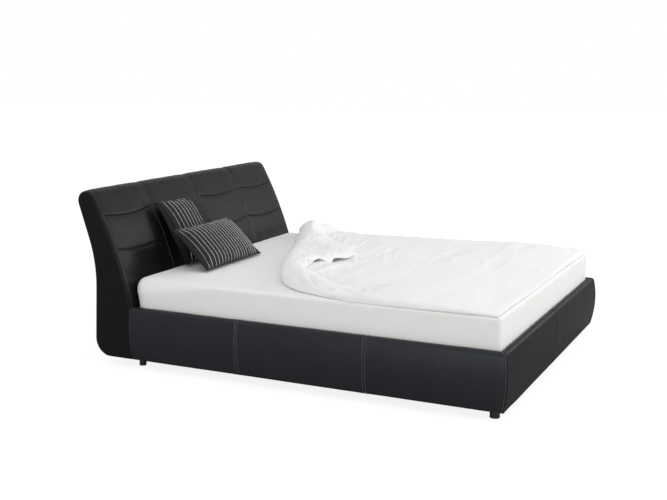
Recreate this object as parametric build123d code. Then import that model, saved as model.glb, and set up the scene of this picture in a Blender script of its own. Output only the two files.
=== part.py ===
from build123d import *
from math import asin, cos, degrees, radians, sin, sqrt, tan
import os

# Upholstered sleigh bed with its bedding. Millimetres, +Z up, +Y towards the head, +X across.
# The origin is on the floor, under the middle of the bed's outer box.

# ---- driving sizes -----------------------------------------------------------------------
# mattress, and the room it has inside the frame
mattress_width = 1785.0
mattress_length = 2027.0  # at its base; above that its head end follows the headboard
mattress_height = 235.0
mattress_corner_radius = 30.0
mattress_edge_radius = 45.0
mattress_side_gap = 7.5
mattress_foot_gap = 2.0
mattress_head_gap = 1.0
mattress_recess = 82.0  # depth of the mattress below the top of the rails
sheet_thickness = 1.5
sheet_tuck = 80.0

# rails and footboard: one upholstered section
floor_gap = 45.0
rail_height = 289.0
rail_thickness = 50.0
rail_bulge_height = 205.0  # height above the floor of the widest point
rail_bottom_inset = 22.0
rail_top_radius = 22.0
rail_inner_top_radius = 14.0
rail_edge_radius = 4.0
rail_cover_thickness = 2.0
rail_cover_return = 80.0
rail_board_thickness = 18.0
rail_board_margin = 10.0
rail_seams_from_foot = (710.0, 1420.0)
seam_width = 3.0
seam_depth = 1.0

# headboard
headboard_height = 944.0
headboard_side_step = 16.0  # how far each end stands back from the rails' bulge
headboard_bend_height = 290.0
headboard_bend_radius = 600.0
headboard_bend_turn = 18.0
headboard_upper_radius = 2500.0
headboard_nose_radius = 52.0
headboard_back_lean = 18.0
headboard_back_radius = 740.0
headboard_back_flare = 3.0
headboard_heel_radius = 95.0
headboard_toe_radius = 8.0
headboard_base_depth = 236.0
headboard_cover_thickness = 3.0
headboard_foam_thickness = 12.0
headboard_skin_thickness = 4.0
end_panel_thickness = 14.0
headboard_columns = 4
tuck_heights = (640.0, 820.0)
tuck_sag = 24.0
tuck_width = 4.0
tuck_depth = 1.6
rib_count = 5
rib_thickness = 18.0
rib_web = 35.0  # wood left round the ribs' windows
rib_window_drop = 190.0  # from the middle of the rounded top
bottom_board_thickness = 18.0
lower_rail_thickness = 27.0
lower_rail_height = 200.0
top_batten_size = 32.0
back_batten_depth = 22.0
back_batten_height = 60.0
back_batten_level = 520.0

# fittings
fitting_leg = 80.0
fitting_ledge_gap = 5.0  # below the ledges
fitting_thickness = 3.0
foot_plate_size = 95.0
foot_plate_thickness = 4.0
bolt_radius = 4.0
bolt_head_flats = 13.0
bolt_head_height = 4.5
lower_bolt_rise = 50.0  # above the bottom of the rails
upper_bolt_margin = 20.0  # below the top of the fittings
bolt_end_gap = 2.0  # short of the end of the insert
bolt_slot_margin = 6.0  # round the bolts, where cover and foam are cut away
bolt_inset = 55.0  # from the corner of the fitting
insert_flats = 13.0
insert_length = 14.0
foot_bolt_radius = 5.0
foot_nut_flats = 17.0
foot_nut_height = 8.0
foot_chamfer = 2.0
foot_stud_reach = 5.0  # above its nut
foot_radius = 24.0
head_foot_radius = 19.0
foot_inset_x = 92.0
foot_inset_y = 82.0
head_foot_inset_y = 20.0

# slat base
ledge_width = 40.0
ledge_height = 45.0
beam_width = 60.0
beam_height = 40.0
beam_wall = 2.5
hanger_reach = 40.0
hanger_width = 110.0
hanger_lip = 16.0  # from the top of the beam down to the saddle's sides
slat_count = 14
slat_width = 53.0
slat_thickness = 8.0
slat_bow = 10.0
holder_length = 28.0
holder_wall = 3.0
holder_margin = 1.5  # from the ledge's outer face or the middle of the beam
pocket_height = 10.0
leg_radius = 19.0
leg_bottom = 30.0
leg_bore_depth = 60.0
leg_plate_thickness = 3.0
leg_plate_length = 60.0
glide_radius = 22.0
glide_height = 10.0
glide_chamfer = 2.0
glide_stud_radius = 5.0
glide_stud_length = 54.0

# bedding
duvet_thickness = 35.0
duvet_near_inset = 30.0  # from the mattress's near side, which is -X
duvet_far_inset = 32.0
duvet_foot_inset = 18.0
duvet_near_head_gap = 879.0  # from the mattress's head end to the turned-back corners
duvet_far_head_gap = 99.0
duvet_corner_radius = 90.0
duvet_roll_width = 220.0
duvet_roll_height = 90.0
cushion_edge = 8.0  # half the thickness at the seam
square_cushion = (450.0, 405.0, 130.0)  # width, height and thickness
square_cushion_x = -275.0
square_cushion_tilt = 60.0
oblong_cushion = (600.0, 305.0, 120.0)
oblong_cushion_x = -300.0
oblong_cushion_tilt = 44.0
cushion_steps = 60  # stretches along a cushion's face, where its resting place is worked out

# clearances
layer_gap = 0.2  # between upholstery layers, and round fixed hardware
joint_gap = 0.3  # between parts that are bolted up or lie on each other
stud_clearance = 0.3
thread_clearance = 0.1

# ---- sizes that follow -------------------------------------------------------------------
width = mattress_width + 2 * (mattress_side_gap + rail_thickness)
half_width = width / 2
rail_top = floor_gap + rail_height
room_length = mattress_foot_gap + mattress_length + mattress_head_gap
headboard_width = width - 2 * headboard_side_step
cover_width = headboard_width - 2 * end_panel_thickness
nose_z = headboard_height - headboard_nose_radius
bend_end_y = headboard_bend_radius * (1 - cos(radians(headboard_bend_turn)))
bend_end_z = headboard_bend_height + headboard_bend_radius * sin(radians(headboard_bend_turn))
# the upper front sweep ends where it is tangent to the rounded top
front_lean = degrees(asin((nose_z - bend_end_z
                           + headboard_upper_radius * sin(radians(headboard_bend_turn)))
                          / (headboard_upper_radius - headboard_nose_radius)))
upper_run = headboard_upper_radius * (cos(radians(headboard_bend_turn)) - cos(radians(front_lean)))
nose_y = bend_end_y + upper_run + headboard_nose_radius * cos(radians(front_lean))
# the straight of the back ends where the hollow below it lands on the depth of the base
back_start_y = nose_y + headboard_nose_radius * cos(radians(headboard_back_lean))
back_start_z = nose_z - headboard_nose_radius * sin(radians(headboard_back_lean))
heel_z = floor_gap + headboard_heel_radius * (1 + sin(radians(headboard_back_flare)))
hollow_drop = headboard_back_radius * (sin(radians(headboard_back_lean)) + sin(radians(headboard_back_flare)))
hollow_run = headboard_back_radius * (cos(radians(headboard_back_flare)) - cos(radians(headboard_back_lean)))
back_bend_z = ((headboard_base_depth - back_start_y + hollow_run
                + back_start_z * tan(radians(headboard_back_lean))
                + (hollow_drop + heel_z) * tan(radians(headboard_back_flare)))
               / (tan(radians(headboard_back_lean)) + tan(radians(headboard_back_flare))))
frame_length = rail_thickness + room_length
head_y = (frame_length - nose_y - headboard_nose_radius) / 2  # front face of the headboard's base
foot_y = head_y - frame_length
board_inner = rail_thickness - rail_cover_thickness  # depth of a board's inner face in the section
board_outer = board_inner - rail_board_thickness
board_bottom = floor_gap + rail_board_margin
board_top = rail_top - rail_inner_top_radius - layer_gap
inner_x = half_width - board_inner
inner_foot_y = foot_y + board_inner
frame_thickness = headboard_cover_thickness + headboard_foam_thickness + headboard_skin_thickness
mattress_bottom = rail_top - mattress_recess
mattress_top = mattress_bottom + mattress_height
mattress_y = foot_y + rail_thickness + mattress_foot_gap + mattress_length / 2
seat_z = mattress_bottom - joint_gap - slat_bow - slat_thickness - holder_wall
beam_bottom = seat_z - beam_height
bedding_z = mattress_top + joint_gap
fitting_bottom = floor_gap + foot_plate_thickness
fitting_top = seat_z - ledge_height - fitting_ledge_gap
bolt_heights = (floor_gap + lower_bolt_rise, fitting_top - upper_bolt_margin)


# ---- helpers -----------------------------------------------------------------------------
def box(x_range, y_range, z_range):
    """A block between three pairs of coordinates."""
    size = [high - low for low, high in (x_range, y_range, z_range)]
    centre = [(high + low) / 2 for low, high in (x_range, y_range, z_range)]
    return Pos(*centre) * Box(*size)


def rod(start, direction, radius, length):
    """A cylinder from a point along a direction."""
    plane = Plane(origin=start, z_dir=direction)
    return extrude(plane * Circle(radius), length)


def hex_rod(start, direction, flats, length):
    """A hexagonal bar from a point along a direction."""
    plane = Plane(origin=start, z_dir=direction)
    return extrude(plane * RegularPolygon(flats / 2, 6, major_radius=False), length)


def insert_pocket(start, direction):
    """The room that a threaded insert needs in a board."""
    return hex_rod(start, direction, insert_flats + 2 * layer_gap, insert_length + 2 * layer_gap)


def plan(points, z_range):
    """An upright prism over a plan outline."""
    outline = make_face(Polyline(*[(x, y, z_range[0]) for x, y in points], close=True))
    return extrude(outline, z_range[1] - z_range[0], dir=(0, 0, 1))


def along_x(section, x_range):
    """A (y, z) section run along X."""
    return extrude(Plane(origin=(x_range[0], 0, 0), x_dir=(0, 1, 0), z_dir=(1, 0, 0)) * section,
                   x_range[1] - x_range[0])


def along_y(section, y_range):
    """An (x, z) section run along Y."""
    return extrude(Plane(origin=(0, y_range[1], 0), x_dir=(1, 0, 0), z_dir=(0, -1, 0)) * section,
                   y_range[1] - y_range[0])


def rectangle(low, high):
    """A section rectangle between two corners."""
    return Pos((low[0] + high[0]) / 2, (low[1] + high[1]) / 2) * Rectangle(high[0] - low[0], high[1] - low[1])


def inset(section, depth):
    """A section drawn in by a depth all round, or let out by a negative one."""
    return offset(section, -depth, kind=Kind.ARC)


def mirrored(solid):
    """The same piece on the other side of the bed."""
    return mirror(solid, Plane.YZ)


def group(solids):
    """Separate solids that share one node."""
    return Compound(children=[piece.solid() for piece in solids])


# ---- rails and footboard -----------------------------------------------------------------
def rail_section():
    """Outer section of a rail: x is the depth in from the bulge, y the height."""
    drop = rail_bulge_height - floor_gap
    radius = (rail_bottom_inset ** 2 + drop ** 2) / (2 * rail_bottom_inset)
    rise = rail_top - rail_bulge_height
    top_depth = radius - sqrt(radius ** 2 - rise ** 2)
    bulge = ThreePointArc((rail_bottom_inset, floor_gap), (0, rail_bulge_height), (top_depth, rail_top))
    rest = Polyline((top_depth, rail_top), (rail_thickness, rail_top), (rail_thickness, floor_gap),
                    (rail_bottom_inset, floor_gap))
    section = make_face(bulge + rest)
    outer_top = section.vertices().sort_by_distance((top_depth, rail_top))[0]
    section = fillet(outer_top, rail_top_radius)
    inner_top = section.vertices().sort_by_distance((rail_thickness, rail_top))[0]
    section = fillet(inner_top, rail_inner_top_radius)
    corners = [section.vertices().sort_by_distance(point)[0]
               for point in ((rail_thickness, floor_gap), (rail_bottom_inset, floor_gap))]
    return fillet(corners, rail_edge_radius)


RAIL = rail_section()


def rail_cover_section():
    """A thin wrap round the section, open on the inner face between its two returns."""
    opening = rectangle((board_inner - layer_gap, floor_gap + rail_cover_thickness + layer_gap),
                        (rail_thickness + 1, rail_top - rail_cover_return))
    return RAIL - inset(RAIL, rail_cover_thickness) - opening


def rail_foam_section():
    """Padding between the cover and the board, lapped over the board's two edges."""
    board = rectangle((board_outer - layer_gap, board_bottom - layer_gap),
                      (rail_thickness + 1, board_top + layer_gap))
    return inset(RAIL, rail_cover_thickness + layer_gap) - board


def rail_board_section():
    return rectangle((board_outer, board_bottom), (board_inner, board_top))


def side_piece(section):
    """A section run along the left rail, mitred at the foot."""
    reach = 2 * rail_thickness
    run = along_y(Pos(-half_width, 0) * section, (foot_y - reach, head_y - joint_gap))
    keep = plan([(-half_width - reach, foot_y - reach + layer_gap), (-half_width + reach, foot_y + reach + layer_gap),
                 (-half_width + reach, head_y), (-half_width - reach, head_y)], (0, rail_top + reach))
    return run & keep


def foot_piece(section):
    """A section run along the footboard, mitred at both ends."""
    reach = 2 * rail_thickness
    run = along_x(Pos(foot_y, 0) * section, (-half_width - reach, half_width + reach))
    keep = plan([(-half_width - reach, foot_y - reach - layer_gap), (-half_width + reach, foot_y + reach - layer_gap),
                 (half_width - reach, foot_y + reach - layer_gap), (half_width + reach, foot_y - reach - layer_gap)],
                (0, rail_top + reach))
    return run & keep


def rail_seam_section():
    """The shallow band that a seam cuts into the outer side of a rail cover."""
    inner_side = rectangle((rail_thickness / 2, 0), (2 * rail_thickness, 2 * rail_top))
    return inset(RAIL, -1) - inset(RAIL, seam_depth) - inner_side


def side_cover():
    cover = side_piece(rail_cover_section())
    for distance in rail_seams_from_foot:
        seam_y = foot_y + distance
        cover -= along_y(Pos(-half_width, 0) * rail_seam_section(),
                         (seam_y - seam_width / 2, seam_y + seam_width / 2))
    return cover


def foot_cover():
    cover = foot_piece(rail_cover_section())
    return cover - along_x(Pos(foot_y, 0) * rail_seam_section(), (-seam_width / 2, seam_width / 2))


def board_bolts():
    """Where the fittings' bolts enter the boards: (start point, direction) on the left side."""
    places = []
    for z in bolt_heights:
        places.append(((-inner_x, inner_foot_y + bolt_inset, z), (-1, 0, 0)))
        places.append(((-inner_x, head_y - bolt_inset, z), (-1, 0, 0)))
        places.append(((-inner_x + bolt_inset, inner_foot_y, z), (0, -1, 0)))
    return places


def headboard_bolts():
    """Where the fittings' bolts enter the headboard on the left side."""
    return [((-inner_x + bolt_inset, head_y, z), (0, 1, 0)) for z in bolt_heights]


def side_board():
    board = box((-half_width + board_outer, -inner_x), (inner_foot_y + layer_gap, head_y - joint_gap),
                (board_bottom, board_top))
    for start, direction in board_bolts():
        if direction[0]:
            board -= insert_pocket(start, direction)
    return board


def foot_board():
    board = box((-half_width + board_outer, half_width - board_outer), (foot_y + board_outer, inner_foot_y),
                (board_bottom, board_top))
    for start, direction in board_bolts():
        if direction[1]:
            pocket = insert_pocket(start, direction)
            board -= pocket
            board -= mirrored(pocket)
    return board


# ---- headboard ---------------------------------------------------------------------------
def headboard_section():
    """Sleigh outline: x is the distance behind the front of the base, y the height."""
    front = Line((0, floor_gap + headboard_toe_radius), (0, headboard_bend_height))
    bend = JernArc(front @ 1, (0, 1), headboard_bend_radius, -headboard_bend_turn)
    sweep_up = JernArc(bend @ 1, bend % 1, headboard_upper_radius, headboard_bend_turn - front_lean)
    nose = JernArc(sweep_up @ 1, sweep_up % 1, headboard_nose_radius, front_lean - headboard_back_lean - 180)
    fall = (back_start_z - back_bend_z) / cos(radians(headboard_back_lean))
    back = Line(nose @ 1, nose @ 1 + (nose % 1) * fall)
    hollow = JernArc(back @ 1, back % 1, headboard_back_radius, headboard_back_lean + headboard_back_flare)
    drop = (back_bend_z - hollow_drop - heel_z) / cos(radians(headboard_back_flare))
    lower = Line(hollow @ 1, hollow @ 1 + (hollow % 1) * drop)
    heel = JernArc(lower @ 1, lower % 1, headboard_heel_radius, -90 - headboard_back_flare)
    base = Line(heel @ 1, (headboard_toe_radius, floor_gap))
    toe = JernArc(base @ 1, (-1, 0), headboard_toe_radius, -90)
    return make_face(front + bend + sweep_up + nose + back + hollow + lower + heel + base + toe)


HEADBOARD = headboard_section()


def front_half():
    """The side of the section that faces the mattress, up to the crest of the rounded top."""
    reach = 2 * headboard_nose_radius
    middle = headboard_base_depth / 2
    return make_face(Polyline((-reach, 0), (-reach, headboard_height + reach), (nose_y, headboard_height + reach),
                              (nose_y, nose_z), (middle, bend_end_z), (middle, 0), close=True))


def headboard_run(section, x_range):
    return along_x(Pos(head_y, 0) * section, x_range)


def seam_positions():
    pitch = headboard_width / headboard_columns
    return [-headboard_width / 2 + pitch * index for index in range(headboard_columns + 1)]


def tuck_band(left, right, height):
    """The sagging tuck between two upright seams, drawn on the front and run through it."""
    middle = (left + right) / 2
    band = make_face(
        ThreePointArc((left, height), (middle, height - tuck_sag), (right, height))
        + Line((right, height), (right, height + tuck_width))
        + ThreePointArc((right, height + tuck_width), (middle, height + tuck_width - tuck_sag),
                        (left, height + tuck_width))
        + Line((left, height + tuck_width), (left, height)))
    return along_y(band, (head_y - headboard_nose_radius, head_y + nose_y))


def headboard_cover():
    """The wrap round the headboard, with upright seams and sagging tucks sunk into its front."""
    wrap = headboard_run(HEADBOARD - inset(HEADBOARD, headboard_cover_thickness), (-cover_width / 2, cover_width / 2))
    seam_skin = (inset(HEADBOARD, -1) - inset(HEADBOARD, seam_depth)) & front_half()
    tuck_skin = headboard_run((inset(HEADBOARD, -1) - inset(HEADBOARD, tuck_depth)) & front_half(),
                              (-cover_width / 2 - 1, cover_width / 2 + 1))
    seams = seam_positions()
    for x in seams[1:-1]:
        wrap -= headboard_run(seam_skin, (x - seam_width / 2, x + seam_width / 2))
    for height in tuck_heights:
        for left, right in zip(seams[:-1], seams[1:]):
            wrap -= tuck_skin & tuck_band(left + seam_width, right - seam_width, height)
    return wrap - headboard_bolt_slots()


def headboard_bolt_slots():
    """Where cover and foam are cut away behind the fittings, round the bolts."""
    start_x = headboard_bolts()[0][0][0]
    reach = bolt_radius + bolt_slot_margin
    slot = box((start_x - reach, start_x + reach), (head_y - 1, head_y + frame_thickness),
               (min(bolt_heights) - reach, max(bolt_heights) + reach))
    return slot + mirrored(slot)


def headboard_bolt_holes():
    holes = [rod(start, direction, bolt_radius + stud_clearance, frame_thickness + 1)
             for start, direction in headboard_bolts()]
    return Compound(children=holes + [mirrored(hole) for hole in holes])


def headboard_foam():
    outer = inset(HEADBOARD, headboard_cover_thickness + layer_gap)
    inner = inset(HEADBOARD, headboard_cover_thickness + headboard_foam_thickness - layer_gap)
    return headboard_run(outer - inner, (-cover_width / 2, cover_width / 2)) - headboard_bolt_slots()


def headboard_skins():
    """Bent front skin and back skin, split at the crest and in the middle of the base."""
    outer = inset(HEADBOARD, headboard_cover_thickness + headboard_foam_thickness)
    inner = inset(HEADBOARD, frame_thickness)
    ring = outer - inner
    front = headboard_run(ring & front_half(), (-cover_width / 2, cover_width / 2)) - headboard_bolt_holes()
    back = headboard_run(ring - inset(front_half(), -layer_gap), (-cover_width / 2, cover_width / 2))
    return front, back


def frame_levels():
    """Inner faces that the headboard's timbers are set from."""
    return head_y + frame_thickness + layer_gap, floor_gap + frame_thickness + layer_gap


def lower_rail_box(clearance=0.0):
    front, bottom = frame_levels()
    low = bottom + bottom_board_thickness + layer_gap
    return box((-cover_width / 2, cover_width / 2), (front, front + lower_rail_thickness + clearance),
               (low, low + lower_rail_height + clearance))


def top_batten_box(clearance=0.0):
    half = top_batten_size / 2 + clearance
    return box((-cover_width / 2, cover_width / 2), (head_y + nose_y - half, head_y + nose_y + half),
               (nose_z - half, nose_z + half))


def back_face_y(z):
    """How far behind the front of the base the back of the headboard is, from the heel to the top's crest."""
    if z >= back_bend_z:
        return back_start_y - (back_start_z - z) * tan(radians(headboard_back_lean))
    if z <= back_bend_z - hollow_drop:
        return headboard_base_depth - (z - heel_z) * tan(radians(headboard_back_flare))
    bend_y = back_start_y - (back_start_z - back_bend_z) * tan(radians(headboard_back_lean))
    centre_y = bend_y + headboard_back_radius * cos(radians(headboard_back_lean))
    centre_z = back_bend_z - headboard_back_radius * sin(radians(headboard_back_lean))
    return centre_y - sqrt(headboard_back_radius ** 2 - (z - centre_z) ** 2)


def back_batten_box(clearance=0.0):
    """The batten stands upright against the back skin, wherever on the curve its level is."""
    levels = [back_batten_level + back_batten_height * share for share in (0, 0.25, 0.5, 0.75, 1)]
    slant = frame_thickness / cos(radians(headboard_back_lean))
    face = head_y + min(back_face_y(z) for z in levels) - slant - joint_gap
    return box((-cover_width / 2, cover_width / 2), (face - back_batten_depth - clearance, face + clearance),
               (back_batten_level - clearance, back_batten_level + back_batten_height + clearance))


def bottom_board():
    front, bottom = frame_levels()
    depth = headboard_base_depth - headboard_heel_radius - frame_thickness - layer_gap
    return box((-cover_width / 2, cover_width / 2), (front, front + depth), (bottom, bottom + bottom_board_thickness))


def lower_rail():
    board = lower_rail_box()
    front = frame_levels()[0]
    for start, direction in headboard_bolts():
        pocket = insert_pocket((start[0], front, start[2]), direction)
        board -= pocket
        board -= mirrored(pocket)
    return board


def rib_window(low, high):
    """A cut-out between two heights that follows the rib's leaning sides."""
    margin = frame_thickness + rib_web
    front = [(front_face_y(z) + margin, z) for z in (low, high)]
    back = [(back_face_y(z) - margin, z) for z in (high, low)]
    return make_face(Polyline(*front, *back, close=True))


def rib(x):
    """A plywood rib cut to the sleigh outline, notched for the boards and battens."""
    bottom = frame_levels()[1] + bottom_board_thickness + layer_gap
    profile = inset(HEADBOARD, frame_thickness + layer_gap) - rectangle((-10, 0), (2 * headboard_base_depth, bottom))
    lower_window = rib_window(bottom + lower_rail_height + rib_web, back_batten_level - rib_web)
    upper_window = rib_window(back_batten_level + back_batten_height + rib_web, nose_z - rib_window_drop)
    blank = headboard_run(profile - lower_window - upper_window, (x - rib_thickness / 2, x + rib_thickness / 2))
    return blank - lower_rail_box(layer_gap) - top_batten_box(layer_gap) - back_batten_box(layer_gap)


def front_face_y(z):
    """How far behind the front of the base the headboard's front face is at a height."""
    if z <= headboard_bend_height:
        return 0.0
    if z <= bend_end_z:
        return headboard_bend_radius - sqrt(headboard_bend_radius ** 2 - (z - headboard_bend_height) ** 2)
    turn = radians(headboard_bend_turn)
    centre_y = bend_end_y + headboard_upper_radius * cos(turn)
    centre_z = bend_end_z - headboard_upper_radius * sin(turn)
    return centre_y - sqrt(headboard_upper_radius ** 2 - (z - centre_z) ** 2)


def rib_positions():
    first = -cover_width / 2 + rib_thickness / 2 + layer_gap
    return [first + index * (-2 * first) / (rib_count - 1) for index in range(rib_count)]


def end_panel():
    """Flat upholstered end of the headboard, on the left."""
    outer = -headboard_width / 2
    return headboard_run(HEADBOARD, (outer, outer + end_panel_thickness - layer_gap))


# ---- corner fittings and feet ------------------------------------------------------------
def foot_centre(at_head):
    if at_head:
        return -half_width + foot_inset_x, head_y - head_foot_inset_y
    return -half_width + foot_inset_x, foot_y + foot_inset_y


def corner_fitting(at_head):
    """A pressed steel angle with a foot plate, in the left corner of the frame."""
    corner_y = head_y - joint_gap if at_head else inner_foot_y
    inward = -1 if at_head else 1

    def y_span(start, end):
        return sorted((corner_y + inward * start, corner_y + inward * end))

    side_leg = box((-inner_x, -inner_x + fitting_thickness), y_span(0, fitting_leg), (fitting_bottom, fitting_top))
    end_leg = box((-inner_x, -inner_x + fitting_leg), y_span(0, fitting_thickness), (fitting_bottom, fitting_top))
    outline = [(-inner_x, 0), (-inner_x + foot_plate_size, 0), (-inner_x + foot_plate_size, foot_plate_size / 2),
               (-inner_x + foot_plate_size / 2, foot_plate_size), (-inner_x, foot_plate_size)]
    plate = plan([(x, corner_y + inward * y) for x, y in outline], (fitting_bottom, fitting_bottom + foot_plate_thickness))
    fitting = side_leg + end_leg + plate
    x, y = foot_centre(at_head)
    fitting -= rod((x, y, 0), (0, 0, 1), foot_bolt_radius + stud_clearance, fitting_top)
    for z in bolt_heights:
        side_y = corner_y + inward * (bolt_inset - (joint_gap if at_head else 0))
        fitting -= rod((-inner_x - 1, side_y, z), (1, 0, 0), bolt_radius + stud_clearance, fitting_thickness + 2)
        fitting -= rod((-inner_x + bolt_inset, corner_y - inward, z), (0, inward, 0),
                       bolt_radius + stud_clearance, fitting_thickness + 2)
    return fitting


def hex_bolt(start, direction, seat, length):
    """A hexagon bolt: seat is how far the underside of its head stands off the start point."""
    outward = Vector(*direction) * -1
    neck = tuple(Vector(*start) + outward * seat)
    head = hex_rod(neck, tuple(outward), bolt_head_flats, bolt_head_height)
    return head + rod(neck, direction, bolt_radius, seat + length)


def insert(start, direction):
    """A hexagonal threaded insert, flush with the board it sits in."""
    sleeve = hex_rod(start, direction, insert_flats, insert_length)
    return sleeve - rod(start, direction, bolt_radius + thread_clearance, insert_length)


def frame_bolts():
    bolts = [hex_bolt(start, direction, fitting_thickness + layer_gap, insert_length - bolt_end_gap)
             for start, direction in board_bolts()]
    return group(bolts + [mirrored(bolt) for bolt in bolts])


def long_bolts():
    seat = fitting_thickness + joint_gap + layer_gap
    bolts = [hex_bolt(start, direction, seat, frame_thickness + insert_length - bolt_end_gap)
             for start, direction in headboard_bolts()]
    return group(bolts + [mirrored(bolt) for bolt in bolts])


def inserts():
    front = frame_levels()[0]
    sleeves = [insert(start, direction) for start, direction in board_bolts()]
    sleeves += [insert((start[0], front, start[2]), direction) for start, direction in headboard_bolts()]
    return group(sleeves + [mirrored(sleeve) for sleeve in sleeves])


def foot(at_head):
    """A turned foot with a moulded-in bolt."""
    radius = head_foot_radius if at_head else foot_radius
    height = fitting_bottom - layer_gap
    stud_top = fitting_bottom + foot_plate_thickness + foot_nut_height + foot_stud_reach
    profile = make_face(Polyline((0, 0), (radius - foot_chamfer, 0), (radius, foot_chamfer), (radius, height),
                                 (foot_bolt_radius, height), (foot_bolt_radius, stud_top), (0, stud_top), close=True))
    x, y = foot_centre(at_head)
    return Pos(x, y, 0) * revolve(Plane.XZ * profile, Axis.Z)


def foot_nuts():
    low = fitting_bottom + foot_plate_thickness + layer_gap
    nuts = []
    for at_head in (False, True):
        x, y = foot_centre(at_head)
        hexagon = RegularPolygon(foot_nut_flats / 2, 6, major_radius=False) - Circle(foot_bolt_radius + thread_clearance)
        nut = Pos(x, y, low) * extrude(hexagon, foot_nut_height)
        nuts += [nut, mirrored(nut)]
    return group(nuts)


# ---- slat base ---------------------------------------------------------------------------
def ledge():
    return box((-inner_x, -inner_x + ledge_width), (inner_foot_y + joint_gap, head_y - 2 * joint_gap),
               (seat_z - ledge_height, seat_z))


def beam_hanger(at_head):
    """A steel saddle that holds one end of the centre beam."""
    wall = fitting_thickness
    face_y = head_y - joint_gap if at_head else inner_foot_y
    inward = -1 if at_head else 1
    low = beam_bottom - layer_gap - wall
    half = beam_width / 2 + layer_gap

    def y_span(start, end):
        return sorted((face_y + inward * start, face_y + inward * end))

    plate = box((-hanger_width / 2, hanger_width / 2), y_span(0, wall), (low, seat_z))
    saddle = box((-half - wall, half + wall), y_span(0, hanger_reach), (low, seat_z - hanger_lip))
    return plate + saddle - box((-half, half), y_span(wall, hanger_reach + 1), (beam_bottom - layer_gap, seat_z + 1))


def centre_beam():
    ends = (inner_foot_y + fitting_thickness + joint_gap, head_y - 2 * joint_gap - fitting_thickness)
    tube = rectangle((-beam_width / 2, beam_bottom), (beam_width / 2, seat_z))
    tube = fillet(tube.vertices(), beam_wall)
    hollow = rectangle((-beam_width / 2 + beam_wall, beam_bottom + beam_wall),
                       (beam_width / 2 - beam_wall, seat_z - beam_wall))
    return along_y(tube - hollow, ends)


def leg_y(index):
    return inner_foot_y + room_length * (index + 1) / 3


def centre_leg(index):
    """A round leg under the beam, bored for the stud of its levelling glide."""
    top = beam_bottom - layer_gap
    leg = rod((0, leg_y(index), leg_bottom), (0, 0, 1), leg_radius, top - leg_plate_thickness - leg_bottom)
    leg -= rod((0, leg_y(index), leg_bottom), (0, 0, 1), glide_stud_radius + thread_clearance, leg_bore_depth)
    plate = box((-beam_width / 2, beam_width / 2),
                (leg_y(index) - leg_plate_length / 2, leg_y(index) + leg_plate_length / 2),
                (top - leg_plate_thickness, top))
    return leg + plate


def levelling_glide(index):
    """A screw-in glide, turned down to take up an uneven floor."""
    stud_top = glide_height + glide_stud_length
    profile = make_face(Polyline((0, 0), (glide_radius - glide_chamfer, 0), (glide_radius, glide_chamfer),
                                 (glide_radius, glide_height), (glide_stud_radius, glide_height),
                                 (glide_stud_radius, stud_top), (0, stud_top), close=True))
    return Pos(0, leg_y(index), 0) * revolve(Plane.XZ * profile, Axis.Z)


def slat_positions():
    first = inner_foot_y + slat_width
    last = head_y - slat_width
    return [first + index * (last - first) / (slat_count - 1) for index in range(slat_count)]


def slat_span():
    """X range of the left row's slats, from pocket end to pocket end."""
    return -inner_x + holder_margin + holder_wall + joint_gap, -holder_margin - holder_wall - joint_gap


def slats():
    """The left row: bowed slats, all one piece apart from their places."""
    low_x, high_x = slat_span()
    low_z = seat_z + holder_wall
    middle = (low_x + high_x) / 2
    face = make_face(
        ThreePointArc((low_x, low_z), (middle, low_z + slat_bow), (high_x, low_z))
        + Line((high_x, low_z), (high_x, low_z + slat_thickness))
        + ThreePointArc((high_x, low_z + slat_thickness), (middle, low_z + slat_bow + slat_thickness),
                        (low_x, low_z + slat_thickness))
        + Line((low_x, low_z + slat_thickness), (low_x, low_z)))
    return group([along_y(face, (y - slat_width / 2, y + slat_width / 2)) for y in slat_positions()])


def slat_holders():
    """End caps of the left row: those on the ledge and those on the beam."""
    caps = []
    for y in slat_positions():
        side = slat_width / 2 + joint_gap
        for outer, inward in ((-inner_x + holder_margin, 1), (-holder_margin, -1)):
            span = sorted((outer, outer + inward * holder_length))
            pocket = sorted((outer + inward * holder_wall, outer + inward * (holder_length + 1)))
            cap = box(span, (y - side - holder_wall, y + side + holder_wall),
                      (seat_z, seat_z + pocket_height + 2 * holder_wall - joint_gap))
            caps.append(cap - box(pocket, (y - side, y + side),
                                  (seat_z + holder_wall - joint_gap, seat_z + holder_wall + pocket_height)))
    return group(caps)


# ---- bedding -----------------------------------------------------------------------------
def mattress_block(shrink):
    """The mattress form drawn in all round, its head end pressed to the headboard's curve."""
    overrun = front_face_y(mattress_top) + mattress_corner_radius
    size = (mattress_width - 2 * shrink, mattress_length + overrun - 2 * shrink, mattress_height - 2 * shrink)
    block = Pos(0, mattress_y + overrun / 2, mattress_bottom + mattress_height / 2) * Box(*size)
    block = fillet(block.edges().filter_by(Axis.Z), mattress_corner_radius - shrink)
    block = fillet(block.edges().group_by(Axis.Z)[-1], mattress_edge_radius - shrink)
    return block - headboard_run(inset(HEADBOARD, -mattress_head_gap - shrink), (-half_width, half_width))


def mattress():
    return mattress_block(sheet_thickness + layer_gap)


def fitted_sheet():
    """The sheet over the top and sides, tucked under all round."""
    half_x = mattress_width / 2 - sheet_tuck
    half_y = mattress_length / 2 - sheet_tuck
    opening = box((-half_x, half_x), (mattress_y - half_y, mattress_y + half_y),
                  (mattress_bottom - 1, mattress_bottom + 2 * sheet_thickness))
    return mattress_block(0) - mattress_block(sheet_thickness) - opening


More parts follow.
